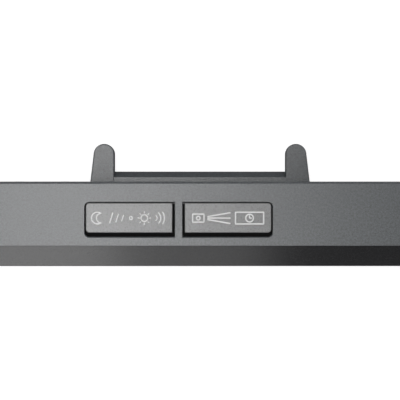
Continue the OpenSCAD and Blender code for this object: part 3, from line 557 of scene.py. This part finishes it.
# the lens's sides get the black ink as painted shade, in place of the dark bezel walls seen
# through them
facing = read(display_window.data.polygons, "normal", 3)
display_window.data.polygons.foreach_set("material_index",
                                         (np.abs(facing[:, 1]) < 0.2).astype(int))


def flat_frame(outer, inner, low, high):
    """A closed frame across Y between two boxes (x0, x1, z0, z1): four rings of four corners,
    outer and inner, front and back."""
    order = (outer, low), (outer, high), (inner, high), (inner, low)
    rings = [[(x0, y, z0), (x1, y, z0), (x1, y, z1), (x0, y, z1)]
             for (x0, x1, z0, z1), y in order]
    i, j = np.meshgrid(np.arange(4), np.arange(4), indexing="ij")
    k, n = (i + 1) % 4, (j + 1) % 4
    quads = np.stack([i * 4 + j, k * 4 + j, k * 4 + n, i * 4 + n], -1)
    return np.array(rings, float).reshape(-1, 3) * MM, quads.reshape(-1, 4).tolist()


border_outer = (lens_low[0] + 0.1, lens_high[0] - 0.1, lens_low[2] + 0.1, lens_high[2] - 0.1)
border_inner = (-75.0, 62.2, 18.9, 70.1)
printed = flat_frame(border_outer, border_inner, lens_back + 0.004, lens_back + 0.024)
body_of("lens_border", (printed,), (ink_and_painted_edge_shade,), "clock_case", "clear_window")

lcd_face = moulded("lcd_reflector", (0.24, 0.27, 0.215), 0.3, grain=9000.0,
                   depth=0.001, mottle=0.05)
lcd_low, lcd_high = box_mm("lcd_panel")
plate = slab(mirrored(box_outline(lcd_low[0], lcd_high[0], lcd_low[2], lcd_high[2], 0.3)),
             lcd_low[1], lcd_high[1], 0.1, 0.1, axis=1)
body_of("lcd_glass_plate", (plate,), (lcd_face,), "clock_case", "lcd_glass", "lcd_panel")

# the segments that each character lights, a on top and on clockwise, with g in the middle
lit_by = {"0": "abcdef", "1": "bc", "2": "abged", "3": "abgcd", "4": "fgbc", "5": "afgcd",
          "6": "afedcg", "8": "abcdefg", "-": "g"}
glass_middle = ((lcd_low[0] + lcd_high[0]) / 2, (lcd_low[2] + lcd_high[2]) / 2)


def flake(outline):
    """A segment: a flat shape on the face of the glass, its outline in mm round the middle."""
    placed = np.asarray(outline, float) + glass_middle
    return slab(mirrored(placed), lcd_low[1] - 0.04, lcd_low[1] + 0.02, 0.0, 0.0, axis=1, steps=2)


def digit(x, z, w, h, t):
    """Outlines of the seven segments of a digit whose lower left corner is at (x, z): bars
    with pointed ends, w by h overall and t thick, leaning to the right."""
    s = t / 2

    def bar(x0, x1, zc):
        return [(x0, zc), (x0 + s, zc - s), (x1 - s, zc - s), (x1, zc), (x1 - s, zc + s),
                (x0 + s, zc + s)]

    def post(xc, z0, z1):
        return [(xc, z0), (xc + s, z0 + s), (xc + s, z1 - s), (xc, z1), (xc - s, z1 - s),
                (xc - s, z0 + s)]

    gap, middle = 0.12 * t, h / 2
    left, right, low, top = s, w - s, s, h - s
    shapes = {"a": bar(left + gap, right - gap, top), "g": bar(left + gap, right - gap, middle),
              "d": bar(left + gap, right - gap, low), "f": post(left, middle + gap, top - gap),
              "b": post(right, middle + gap, top - gap), "e": post(left, low + gap, middle - gap),
              "c": post(right, low + gap, middle - gap)}
    return {k: np.array([(x + u + 0.09 * v, z + v) for u, v in p]) for k, p in shapes.items()}


lit, unlit = [], []
for text, x, z, w, h, t in (  # hours, minutes, seconds, date, temperature
        ("10", -63.5, -5.5, 17.0, 28.5, 3.3), ("28", -15.5, -5.5, 17.0, 28.5, 3.3),
        ("36", 30.0, -5.5, 8.6, 14.0, 1.8), ("6-24", -63.5, -22.5, 7.0, 11.5, 1.5),
        ("21", 13.0, -22.5, 7.0, 11.5, 1.5), ("5", 33.5, -22.5, 7.0, 11.5, 1.5)):
    for k, character in enumerate(text):
        for name, outline in digit(x + k * (w + 1.25 * t), z, w, h, t).items():
            (lit if name in lit_by[character] else unlit).append(flake(outline))
colon = [box_outline(x, x + 3.0, z, z + 3.0, 0.4, 3) for x, z in ((-21.2, 1.0), (-20.4, 13.0))]
point = box_outline(30.6, 32.0, -22.5, -21.1, 0.2, 3)
rule = box_outline(-63.5, 62.5, -8.6, -8.2, 0.1, 3)
bell = np.concatenate([[(31.0, 13.5), (40.0, 13.5), (39.0, 15.2)],
                       arc((35.5, 18.2), 2.9, 0, 180, 16), [(32.0, 15.2)]])
clapper = arc((35.5, 12.4), 1.0, 180, 360, 10)
crescent = np.concatenate([arc((50.5, 17.5), 3.6, 51.3, 308.7, 30),
                           arc((51.7, 17.5), 3.0, 290.5, 69.5, 24)])
lit += [flake(outline) for outline in (*colon, point, rule, bell, clapper, crescent)]
degree = arc(glass_middle, 1.1, 0, 345, 20) + (45.5, -12.6)
lit.append(ridge(degree[:, ::-1], 0.5, 0.03, lcd_low[1] - 0.03, closed=True, axis=1,
                 half=square))
segment_black = moulded("lcd_segment", (0.012, 0.014, 0.016), 0.3, grain=9000.0, depth=0.0005)
segment_faint = moulded("lcd_segment_unlit", (0.212, 0.24, 0.19), 0.3, grain=9000.0,
                        depth=0.0005)
body_of("lcd_segments_lit", lit, (segment_black,), "clock_case", "lcd_glass")
body_of("lcd_segments_unlit", unlit, (segment_faint,), "clock_case", "lcd_glass")


# --- Behind the display -------------------------------------
# A white frame that holds the glass, an edge-lit acrylic guide with its LEDs, and the striped
# rubber connector between glass and board. All hidden once the case is closed.

def dress(material, *names):
    """Gives CAD nodes of the right shape their finish, in every material slot they have."""
    for name in names:
        for place in nodes[name].material_slots:
            place.material = material


def banded(name, dark, light, pitch, roughness):
    """Rubber in thin layers across X, as in an elastomer connector: a sine band of the pitch
    in mm, cut to two tones. A wave texture of scale 1 repeats every 0.314 m."""
    made = moulded(name, dark, roughness, depth=0.002)
    tree, shader = shading_of(made)
    place = add(tree, "TexCoord").outputs["Object"]
    bands = add(tree, "TexWave", {"Vector": place, "Scale": 0.314 / (pitch * MM)})
    tone = mixed(tree, ramp(tree, bands.outputs["Fac"], 0.45, 0.55), (*dark, 1.0), (*light, 1.0))
    feed(tree, shader, {"Base Color": tone})
    return made


dress(moulded("holder_white", (0.62, 0.62, 0.6), 0.4, depth=0.004), "lcd_holder")
dress(moulded("guide_acrylic", (0.72, 0.75, 0.76), 0.15, grain=900.0, depth=0.002), "light_guide")
dress(moulded("led_package", (0.8, 0.76, 0.55), 0.35, depth=0.002), "backlight_leds")
dress(banded("layered_rubber", (0.03, 0.03, 0.03), (0.55, 0.5, 0.45), 0.4, 0.5), "zebra_strip")


# --- Circuit boards -----------------------------------------
# Glass-epoxy boards under green solder mask. The copper below it shows as paler tracks that
# stand a few hundredths of a millimetre out of the surface.

def laminate(name, upright):
    """Board finish: the tracks are the seams of a brick pattern laid over the board's own
    plane, which is XZ for an upright board and XY for a flat one."""
    made = moulded(name, (0.02, 0.1, 0.035), 0.3, depth=0.001)
    tree, shader = shading_of(made)
    turn = add(tree, "Mapping", {"Vector": add(tree, "TexCoord").outputs["Object"],
                                 "Rotation": (-math.pi / 2 if upright else 0.0, 0.0, 0.0)})
    tracks = add(tree, "TexBrick", {"Vector": turn.outputs["Vector"], "Scale": 190.0,
                                    "Color1": (0.012, 0.075, 0.03, 1.0),
                                    "Color2": (0.014, 0.085, 0.032, 1.0),
                                    "Mortar": (0.035, 0.17, 0.06, 1.0), "Mortar Size": 0.035})
    copper = add(tree, "Bump", {"Distance": 0.03 * MM, "Height": tracks.outputs["Fac"]})
    feed(tree, shader, {"Base Color": tracks.outputs["Color"],
                        "Normal": copper.outputs["Normal"]})
    return made


dress(laminate("upright_board", True), "main_board")
dress(laminate("flat_board", False), "top_key_board", "led_board")


# --- Screws and other metal ---------------------------------
# Zinc-plated self-tapping screws with pan heads and cross recesses: four hold the halves of
# the case, four the main board and two the small one. Springs, plates and pins are nickelled.

def metal(name, colour, roughness, brushed=2500.0):
    """Bare metal, its gloss broken up by fine wear in clouds and short scratches."""
    made = moulded(name, colour, roughness, grain=brushed, depth=0.002, mottle=0.12)
    tree, shader = shading_of(made)
    feed(tree, shader, {"Metallic": 1.0})
    return made


def revolve(profile, centre, axis=2, count=48, dent=None):
    """A closed surface of revolution. The profile runs from the lower pole to the upper one as
    (radius, height), its first and last radius 0. dent(u, v, h) is taken off the height."""
    radius, height = np.asarray(profile, float).T
    a = np.linspace(0.0, 2 * np.pi, count, endpoint=False)
    u = radius[1:-1, None] * np.cos(a)
    v = radius[1:-1, None] * np.sin(a)
    h = height[1:-1, None] + 0.0 * a
    ring = np.stack([u, v, h], -1).reshape(-1, 3)
    local = np.concatenate([ring, [(0.0, 0.0, height[0]), (0.0, 0.0, height[-1])]])
    if dent:
        local[:, 2] -= dent(*local.T)
    local[:, :2] += centre
    rows = len(radius) - 2
    i, j = np.meshgrid(np.arange(rows - 1), np.arange(count), indexing="ij")
    n = (j + 1) % count
    quads = np.stack([i * count + j, i * count + n, (i + 1) * count + n, (i + 1) * count + j], -1)
    j = np.arange(count)
    n, top = (j + 1) % count, (rows - 1) * count
    low_fan = np.stack([np.full(count, rows * count), n, j], 1)
    high_fan = np.stack([np.full(count, rows * count + 1), top + j, top + n], 1)
    faces = quads.reshape(-1, 4).tolist() + low_fan.tolist() + high_fan.tolist()
    return local[:, turned[axis]] * MM, faces


def screw(centre, seat, length, shank, head, thick, axis, way=1.0):
    """A pan-head screw: a pointed shank with ridges, shank (0.86 + 0.14 cos(2 pi z / pitch)) in
    radius, and a head with a crown of radius head cos^0.55 b at height thick (0.35 + 0.65
    sin^1.2 b), with b from 0 to 90 degrees. The cross recess is the larger of two tapered slots
    at right angles. way is -1 where the head faces down its axis."""
    pitch = 0.7 * shank
    z = np.linspace(-length + shank, 0.0, max(24, int(8 * (length - shank) / pitch)))
    thread = np.stack([shank * (0.86 + 0.14 * np.cos(2 * np.pi * z / pitch)), z], 1)
    b = np.radians(np.linspace(0.0, 90.0, 22))[1:-1]
    crown = np.stack([head * np.cos(b) ** 0.55, thick * (0.35 + 0.65 * np.sin(b) ** 1.2)], 1)
    fine = np.stack([np.linspace(crown[-1, 0], 0.0, 12)[1:-1], np.full(10, thick)], 1)
    profile = np.concatenate([[(0.0, -length)], thread, [(head, 0.0), (head, 0.3 * thick)], crown,
                              fine, [(0.0, thick)]])
    half, reach, deep = 0.17 * head, 0.62 * head, 0.62 * thick

    def slot(p, q):
        return (np.clip((half - abs(p)) / (0.25 * half), 0.0, 1.0)
                * np.clip((reach - abs(q)) / (0.5 * reach), 0.0, 1.0))

    def recess(u, v, h):
        return np.where(h > 0.4 * thick, deep * np.maximum(slot(u, v), slot(v, u)), 0.0)

    points, faces = revolve(profile, (0.0, 0.0), 2, 64, recess)
    if way < 0:
        points = points * (1, -1, -1)
    return (points + np.array((*centre, seat)) * MM)[:, turned[axis]], faces


zinc = metal("zinc_plate", (0.62, 0.62, 0.6), 0.3)
nickel = metal("nickel_plate", (0.66, 0.63, 0.57), 0.22)
case_screw_at = [(10.0, -86.5), (10.0, 86.5), (79.5, -86.5), (79.0, 64.2)]  # z, x
board_screw_at = [(z, x) for x in (-58.4, 45.6) for z in (7.21, 81.79)]
key_board_screw_at = [(-38.25, -4.975), (25.45, -4.975)]  # x, y
for name, places, sizes, node in (
        ("case_screw_set", case_screw_at,
         dict(seat=2.95, length=19.9, shank=1.25, head=2.3, thick=1.8, axis=1), "case_screws"),
        ("board_screw_set", board_screw_at,
         dict(seat=-9.2, length=7.1, shank=0.9, head=1.8, thick=1.3, axis=1), "board_screws"),
        ("key_board_screw_set", key_board_screw_at,
         dict(seat=79.65, length=4.7, shank=0.9, head=1.7, thick=1.2, axis=2, way=-1.0),
         "top_board_screws")):
    body_of(name, [screw(place, **sizes) for place in places], (zinc,), "clock_case", "steel",
            node)
dress(nickel, "contact_springs", "contact_plates", "jack_pin", "stand_pins", "drum_retainer",
      "friction_washer", "slide_switch")


# --- Rubber mats and pads -----------------------------------
# Mats of moulded silicone domes that lift the keys, and round pads die-cut from black rubber
# and stuck under the case and the foot.

rubber = moulded("matt_rubber", (0.012, 0.012, 0.012), 0.75, grain=2600.0, depth=0.01,
                 specular=0.3)
dress(rubber, "top_key_mat", "rear_key_mat")
pad_low, pad_high = box_mm("case_pads")
case_pad_x, case_pad_r = 75.0, 3.6
foot_pad_x, foot_pad_y, foot_pad_r = 32.45, 16.15, 2.39
case_pad_at = [(x, y) for x in (-case_pad_x, case_pad_x)
               for y in (pad_low[1] + case_pad_r, pad_high[1] - case_pad_r)]
foot_pad_at = [(-foot_pad_x, foot_pad_y), (foot_pad_x, foot_pad_y)]
for name, places, radius, body, node in (
        ("case_pad_set", case_pad_at, case_pad_r, "clock_case", "case_pads"),
        ("foot_pad_set", foot_pad_at, foot_pad_r, "foot", "stand_pads")):
    body_of(name, [slab(arc(place, radius, 0, 352.5, 48), 0.0, pad_high[2], 0.25, 0.0)
                   for place in places], (rubber,), body, "black_rubber", node)


# --- Setting keys -------------------------------------------
# Five round push caps of black ABS in holes of the back, their tops slightly domed and each
# with a small raised sign: dial, bell, up, down and radio mast.

soft_black = moulded("black_plastic", (0.014, 0.014, 0.015), 0.38, grain=3000.0, depth=0.008)
pale_ink = moulded("pale_ink", (0.45, 0.46, 0.46), 0.45, depth=0.003)
cap_z, cap_r, cap_top, cap_flange = 62.0, 3.2, 6.15, 4.1
stem_r, stem_end, flange_front, inner_back = 1.4, -5.95, 2.9, 3.95
cap_profile = [(0.0, stem_end), (stem_r, stem_end), (stem_r, flange_front),
               (cap_flange, flange_front), (cap_flange, inner_back), (cap_r, inner_back)]
cap_profile += [(cap_r - inset, cap_top - drop)
                for inset, drop in ((0.0, 0.75), (0.03, 0.6), (0.14, 0.42), (0.32, 0.28))]
cap_profile += [(r, cap_top - 0.022 * r * r) for r in (2.6, 2.2, 1.8, 1.4, 1.0, 0.5)]
cap_profile += [(0.0, cap_top)]


def sign(x, *paths):
    """Raised strokes on a cap, from paths round its middle as seen from behind."""
    return [ridge((path * (1, -1))[:, ::-1] + (cap_z, x), 0.32, 0.12, cap_top - 0.08, closed,
                  axis=1) for path, closed in paths]


dial, hand = arc((0, 0), 1.35, 0, 345, 24), line((0.0, 0.85), (0.0, 0.0), (0.7, 0.0))
dome = np.concatenate([[(-1.3, -0.8), (-0.95, -0.4)], arc((0, 0.35), 0.9, 180, 0, 12),
                       [(0.95, -0.4), (1.3, -0.8)]])
mast, mast_top = line((0.0, -1.4), (0.0, 0.2)), (0, 0.3)
signs = {
    "set_key": [(dial, True), (hand, False)],
    "alarm_key": [(dome, True), (line((-0.3, -1.3), (0.3, -1.3)), False)],
    "up_key": [(line((-1.2, -0.6), (0.0, 0.8), (1.2, -0.6)), False)],
    "down_key": [(line((-1.2, 0.6), (0.0, -0.8), (1.2, 0.6)), False)],
    "channel_key": [(mast, False), (arc(mast_top, 0.75, -50, 50, 10), False),
                    (arc(mast_top, 1.45, -45, 45, 12), False),
                    (arc(mast_top, 0.75, 130, 230, 10), False),
                    (arc(mast_top, 1.45, 135, 225, 12), False)],
}
for node, drawn in signs.items():
    low, high = box_mm(node)
    x = (low[0] + high[0]) / 2
    body_of(node.replace("_key", "_cap"), [revolve(cap_profile, (cap_z, x), 1)] + sign(x, *drawn),
            (soft_black, pale_ink), node.replace("_key", "_button"), "black_plastic", node,
            painted=len(drawn))


# --- Slide switch, inlet and buzzer -------------------------
# A ribbed slider in a slot of the back, a barrel socket for the mains adapter's plug, and a
# piezo buzzer glued behind seven holes.

knob_low, knob_high = box_mm("switch_knob")
knob_x, knob_z = (knob_low[0] + knob_high[0]) / 2, 62.0
knob_half_w, knob_half_h, rib_half, rib_pitch = 2.0, 1.65, 1.1, 0.6
slider = slab(mirrored(box_outline(knob_x - knob_half_w, knob_x + knob_half_w,
                                   knob_z - knob_half_h, knob_z + knob_half_h, 0.3)),
              inner_back - 0.1, knob_high[1], 0.0, 0.2, axis=1)
tray = slab(mirrored(box_outline(knob_low[0], knob_high[0], knob_low[2], knob_high[2], 0.3)),
            knob_low[1], inner_back, 0.1, 0.1, axis=1)
ribs = [ridge([(knob_z - rib_half, knob_x + k * rib_pitch),
               (knob_z + rib_half, knob_x + k * rib_pitch)], 0.3, 0.1, knob_high[1] - 0.02,
              axis=1) for k in range(-2, 3)]
body_of("switch_slider_cap", [slider, tray] + ribs, (soft_black,), "switch_slider",
        "black_plastic", "switch_knob")
dress(soft_black, "dc_jack", "buzzer")


# --- Battery bay --------------------------------------------
# A snap-on door with two hooks, a thumb notch and an arrow, over two AAA cells in printed
# sleeves.

def door_share(mid, n1, n2):
    """The outside is rounded off all round."""
    return (mid[:, 1] > case_high[1] - near).astype(float)


moulding("battery_door", "battery_cover", 0.3, door_share,
         (case_plastic, case_edge))
arrow_tip, relief, relief_base = (0.0, 34.0), 0.15, case_high[1] - 0.02
arrow = [ridge(path[:, ::-1], 0.4, relief, relief_base, axis=1)
         for path in (line((0.0, 41.5), arrow_tip), line((-2.4, 36.4), arrow_tip, (2.4, 36.4)))]
grip = [ridge(line((-9.0, z), (9.0, z))[:, ::-1], 0.5, relief, relief_base, axis=1)
        for z in (27.5, 29.0, 30.5)]
body_of("battery_door_relief", arrow + grip, (case_edge,), "battery_cover", "case_plastic")


def sleeved(name, half_length=22.3):
    """A dry cell's sleeve: along X a dark part and a copper part with a thin bright line
    between, on a satin film, from end to end of a cell in mm."""
    made = moulded(name, (0.2, 0.2, 0.2), 0.3, depth=0.001)
    tree, shader = shading_of(made)
    end = half_length * MM
    print_of = add(tree, "ValToRGB", {"Fac": ramp(tree, place_of(tree)["X"], -end, end)})
    print_of.color_ramp.interpolation = "CONSTANT"
    stops = print_of.color_ramp.elements
    bare = (0.55, 0.55, 0.55, 1.0)
    stops[0].color = bare
    stops[1].position, stops[1].color = 0.04, (0.02, 0.02, 0.022, 1.0)
    for position, colour in ((0.66, (0.7, 0.7, 0.68, 1.0)), (0.68, (0.42, 0.2, 0.07, 1.0)),
                             (0.96, bare)):
        stops.new(position).color = colour
    feed(tree, shader, {"Base Color": print_of.outputs["Color"]})
    return made


dress(sleeved("cell_sleeve"), "battery_cells")


# --- Projector drum -----------------------------------------
# A cup of the case's plastic with a darker end cap, turning on a hollow hub in the notch of
# the case. Its knurled focus ring moves the lens.

drum_low, drum_high = box_mm("drum_shell")
drum_y, drum_z = (drum_low[1] + drum_high[1]) / 2, (drum_low[2] + drum_high[2]) / 2
drum_r, drum_start = 12.5, 75.8


def drum_share(mid, n1, n2):
    """Rounds the rims at both ends of the drum."""
    away = np.hypot(mid[:, 1] - drum_y, mid[:, 2] - drum_z)
    at_end = (np.abs(mid[:, 0] - drum_start) < 0.1) | (mid[:, 0] > drum_high[0] - 0.1)
    return 0.6 * (at_end & (away > drum_r - 0.2))


def round_wall(piece, y, z, radius):
    """Fixes the rounding of a moulding in its mesh, and gives every corner on the outside of
    its round wall the true normal (0, y, z) / r of a cylinder along X, so that the facets
    round its pocket don't show."""
    seen = piece.evaluated_get(bpy.context.evaluated_depsgraph_get())
    mesh = bpy.data.meshes.new_from_object(seen)
    piece.modifiers.clear()
    piece.data = mesh
    corner = read(mesh.loops, "vertex_index", kind=int)
    shading = read(mesh.corner_normals, "vector", 3)
    totals = read(mesh.polygons, "loop_total", kind=int)
    facing = np.repeat(read(mesh.polygons, "normal", 3), totals, 0)
    radial = (read(mesh.vertices, "co", 3)[corner] / MM - (0.0, y, z)) * (0.0, 1.0, 1.0)
    away = np.linalg.norm(radial, axis=1)
    radial /= away[:, None]
    outward = ((radial * facing).sum(1) > 0.9) & (np.abs(facing[:, 0]) < 0.1)
    wall = (away > radius - 0.1) & outward
    shading[wall] = radial[wall]
    mesh.normals_split_custom_set(shading.tolist())


shell = moulding("drum_shell", "projector", 0.3, drum_share,
                 (case_plastic, case_edge))
round_wall(shell, drum_y, drum_z, drum_r)
spigot_outer, spigot_inner, spigot_end = 10.85, 9.65, 92.6
cup_end, cap_end, cap_round = 93.4, 95.0, 0.6
turning = np.radians(np.linspace(0.0, 90.0, 9))
end_rim = np.stack([drum_r - cap_round * (1 - np.cos(turning)),
                    cap_end - cap_round * (1 - np.sin(turning))], 1)
end_profile = [(0.0, cup_end), (spigot_inner, cup_end), (spigot_inner, spigot_end),
               (spigot_outer, spigot_end), (spigot_outer, cup_end), (drum_r, cup_end),
               *end_rim, (0.0, cap_end)]
body_of("drum_end_cap", [revolve(end_profile, (drum_y, drum_z), 0, 128)], (bezel_plastic,),
        "projector", "bezel_plastic", "drum_cap")
dress(soft_black, "optics_holder", "lens_carrier")


def ring_share(mid, n1, n2):
    """The ring's upper rim is rounded."""
    return np.where(mid[:, 2] > drum_z + drum_r - 0.2, 1.0, 0.0)


moulding("focus_ring", "focus", 0.2, ring_share, (soft_black, soft_black),
         steps=2)
optic_x, glass_r, seat = 85.4, 4.4, drum_z + 7.4
rim_top, crown_top = seat + 1.7, seat + 2.6
crown_rise = crown_top - rim_top
bulge = (glass_r ** 2 + crown_rise ** 2) / (2 * crown_rise)
away = glass_r * np.linspace(1.0, 0.0, 22)
crown = np.stack([away, crown_top - bulge + np.sqrt(bulge ** 2 - away ** 2)], 1)
lens_profile = [(0.0, seat), (glass_r - 0.1, seat), (glass_r, seat + 0.1), *crown]
optical = glassy("optical_glass", (1.0, 1.0, 1.0), 1.52, 0.0, 0.03)
body_of("projection_glass", [revolve(lens_profile, (optic_x, drum_y), 2, 72)], (optical,),
        "lens_barrel", "optical_glass", "projection_lens")
dress(optical, "condenser_lens")
dress(glassy("tinted_resin", (0.95, 0.25, 0.2), 1.5), "projector_led")
dress(moulded("slide_glass", (0.03, 0.035, 0.04), 0.1, depth=0.0005), "image_slide")


# --- Light, table and camera --------------------------------
# A pale table under a room's soft light: two long softboxes overhead, to the left of the
# middle, strips low in front that show in the sloping edge of the bezel, and weak fills.

reach = 3.0
table_mesh = bpy.data.meshes.new("table")
table_mesh.from_pydata([(-reach, -reach, 0), (reach, -reach, 0), (reach, reach, 0),
                        (-reach, reach, 0)], [], [(0, 1, 2, 3)])
table = in_scene("table", table_mesh)
pale = bpy.data.materials.new("pale_table")
tree, shader = shading_of(pale)
feed(tree, shader, {"Base Color": (0.25, 0.25, 0.25, 1.0), "Roughness": 0.9,
                    "Specular IOR Level": 0.1})
glow = add(tree, "Emission", {"Strength": 0.9})
both = add(tree, "AddShader", {0: shader.outputs[0], 1: glow.outputs[0]})
mix = add(tree, "MixShader", {0: add(tree, "LightPath").outputs["Is Camera Ray"],
                              1: shader.outputs[0], 2: both.outputs[0]})
feed(tree, tree.nodes["Material Output"], {"Surface": mix.outputs[0]})
table_mesh.materials.append(pale)

world = bpy.data.worlds.new("room")
bpy.context.scene.world = world
world.use_nodes = True
feed(world.node_tree, world.node_tree.nodes["Background"],
     {"Color": (1.0, 1.0, 1.0, 1.0), "Strength": 0.06})


def softbox(name, place, target, width, height, power):
    """A rectangular area light at place that faces target, all in metres and watts."""
    lamp = bpy.data.lights.new(name, "AREA")
    lamp.shape = "RECTANGLE"
    lamp.size, lamp.size_y, lamp.energy = width, height, power
    holder = in_scene(name, lamp)
    way = np.subtract(place, target)
    way = way / np.linalg.norm(way)
    side = np.cross((0.0, 1.0, 0.001), way)
    side = side / np.linalg.norm(side)
    grid = np.eye(4)
    grid[:3] = np.stack([side, np.cross(way, side), way, place], 1)
    holder.matrix_world = Matrix(grid.tolist())
    holder.visible_camera = False


for name, place, target, width, height, power in (
        ("top_left", (-0.15, 0.0, 1.3), (0.0, 0.0, 0.08), 0.2, 0.8, 6.3),
        ("top_middle", (-0.05, 0.0, 1.3), (0.0, 0.0, 0.08), 0.2, 0.8, 2.24),
        ("front_left", (-0.23, -0.35, 0.045), (-0.23, 0.0, 0.045), 0.38, 0.084, 0.3),
        ("front_far_left", (-0.255, -0.35, 0.045), (-0.255, 0.0, 0.045), 0.33, 0.084, 0.112),
        ("front_middle", (-0.0045, -0.35, 0.045), (-0.0045, 0.0, 0.045), 0.071, 0.084, 0.0224),
        ("left_fill", (-1.0, -0.6, 0.35), (0.0, 0.0, 0.05), 0.6, 0.6, 3.0),
        ("right_fill", (1.0, -0.6, 0.35), (0.0, 0.0, 0.05), 0.6, 0.6, 2.0),
        ("back_left_fill", (-0.6, 0.9, 0.4), (0.0, 0.0, 0.05), 1.3, 1.3, 6.5),
        ("back_right_fill", (0.6, 0.9, 0.4), (0.0, 0.0, 0.05), 1.3, 1.3, 6.0)):
    softbox(name, place, target, width, height, power)

camera_data = bpy.data.cameras.new("camera")
camera_data.lens, camera_data.sensor_width = 180.0, 36.0
camera_data.clip_start, camera_data.clip_end = 0.01, 20.0
camera = in_scene("camera", camera_data)
camera.location = (0.0, 0.00043, 0.6855)
bpy.context.scene.camera = camera
bpy.context.scene.view_settings.view_transform = "Standard"
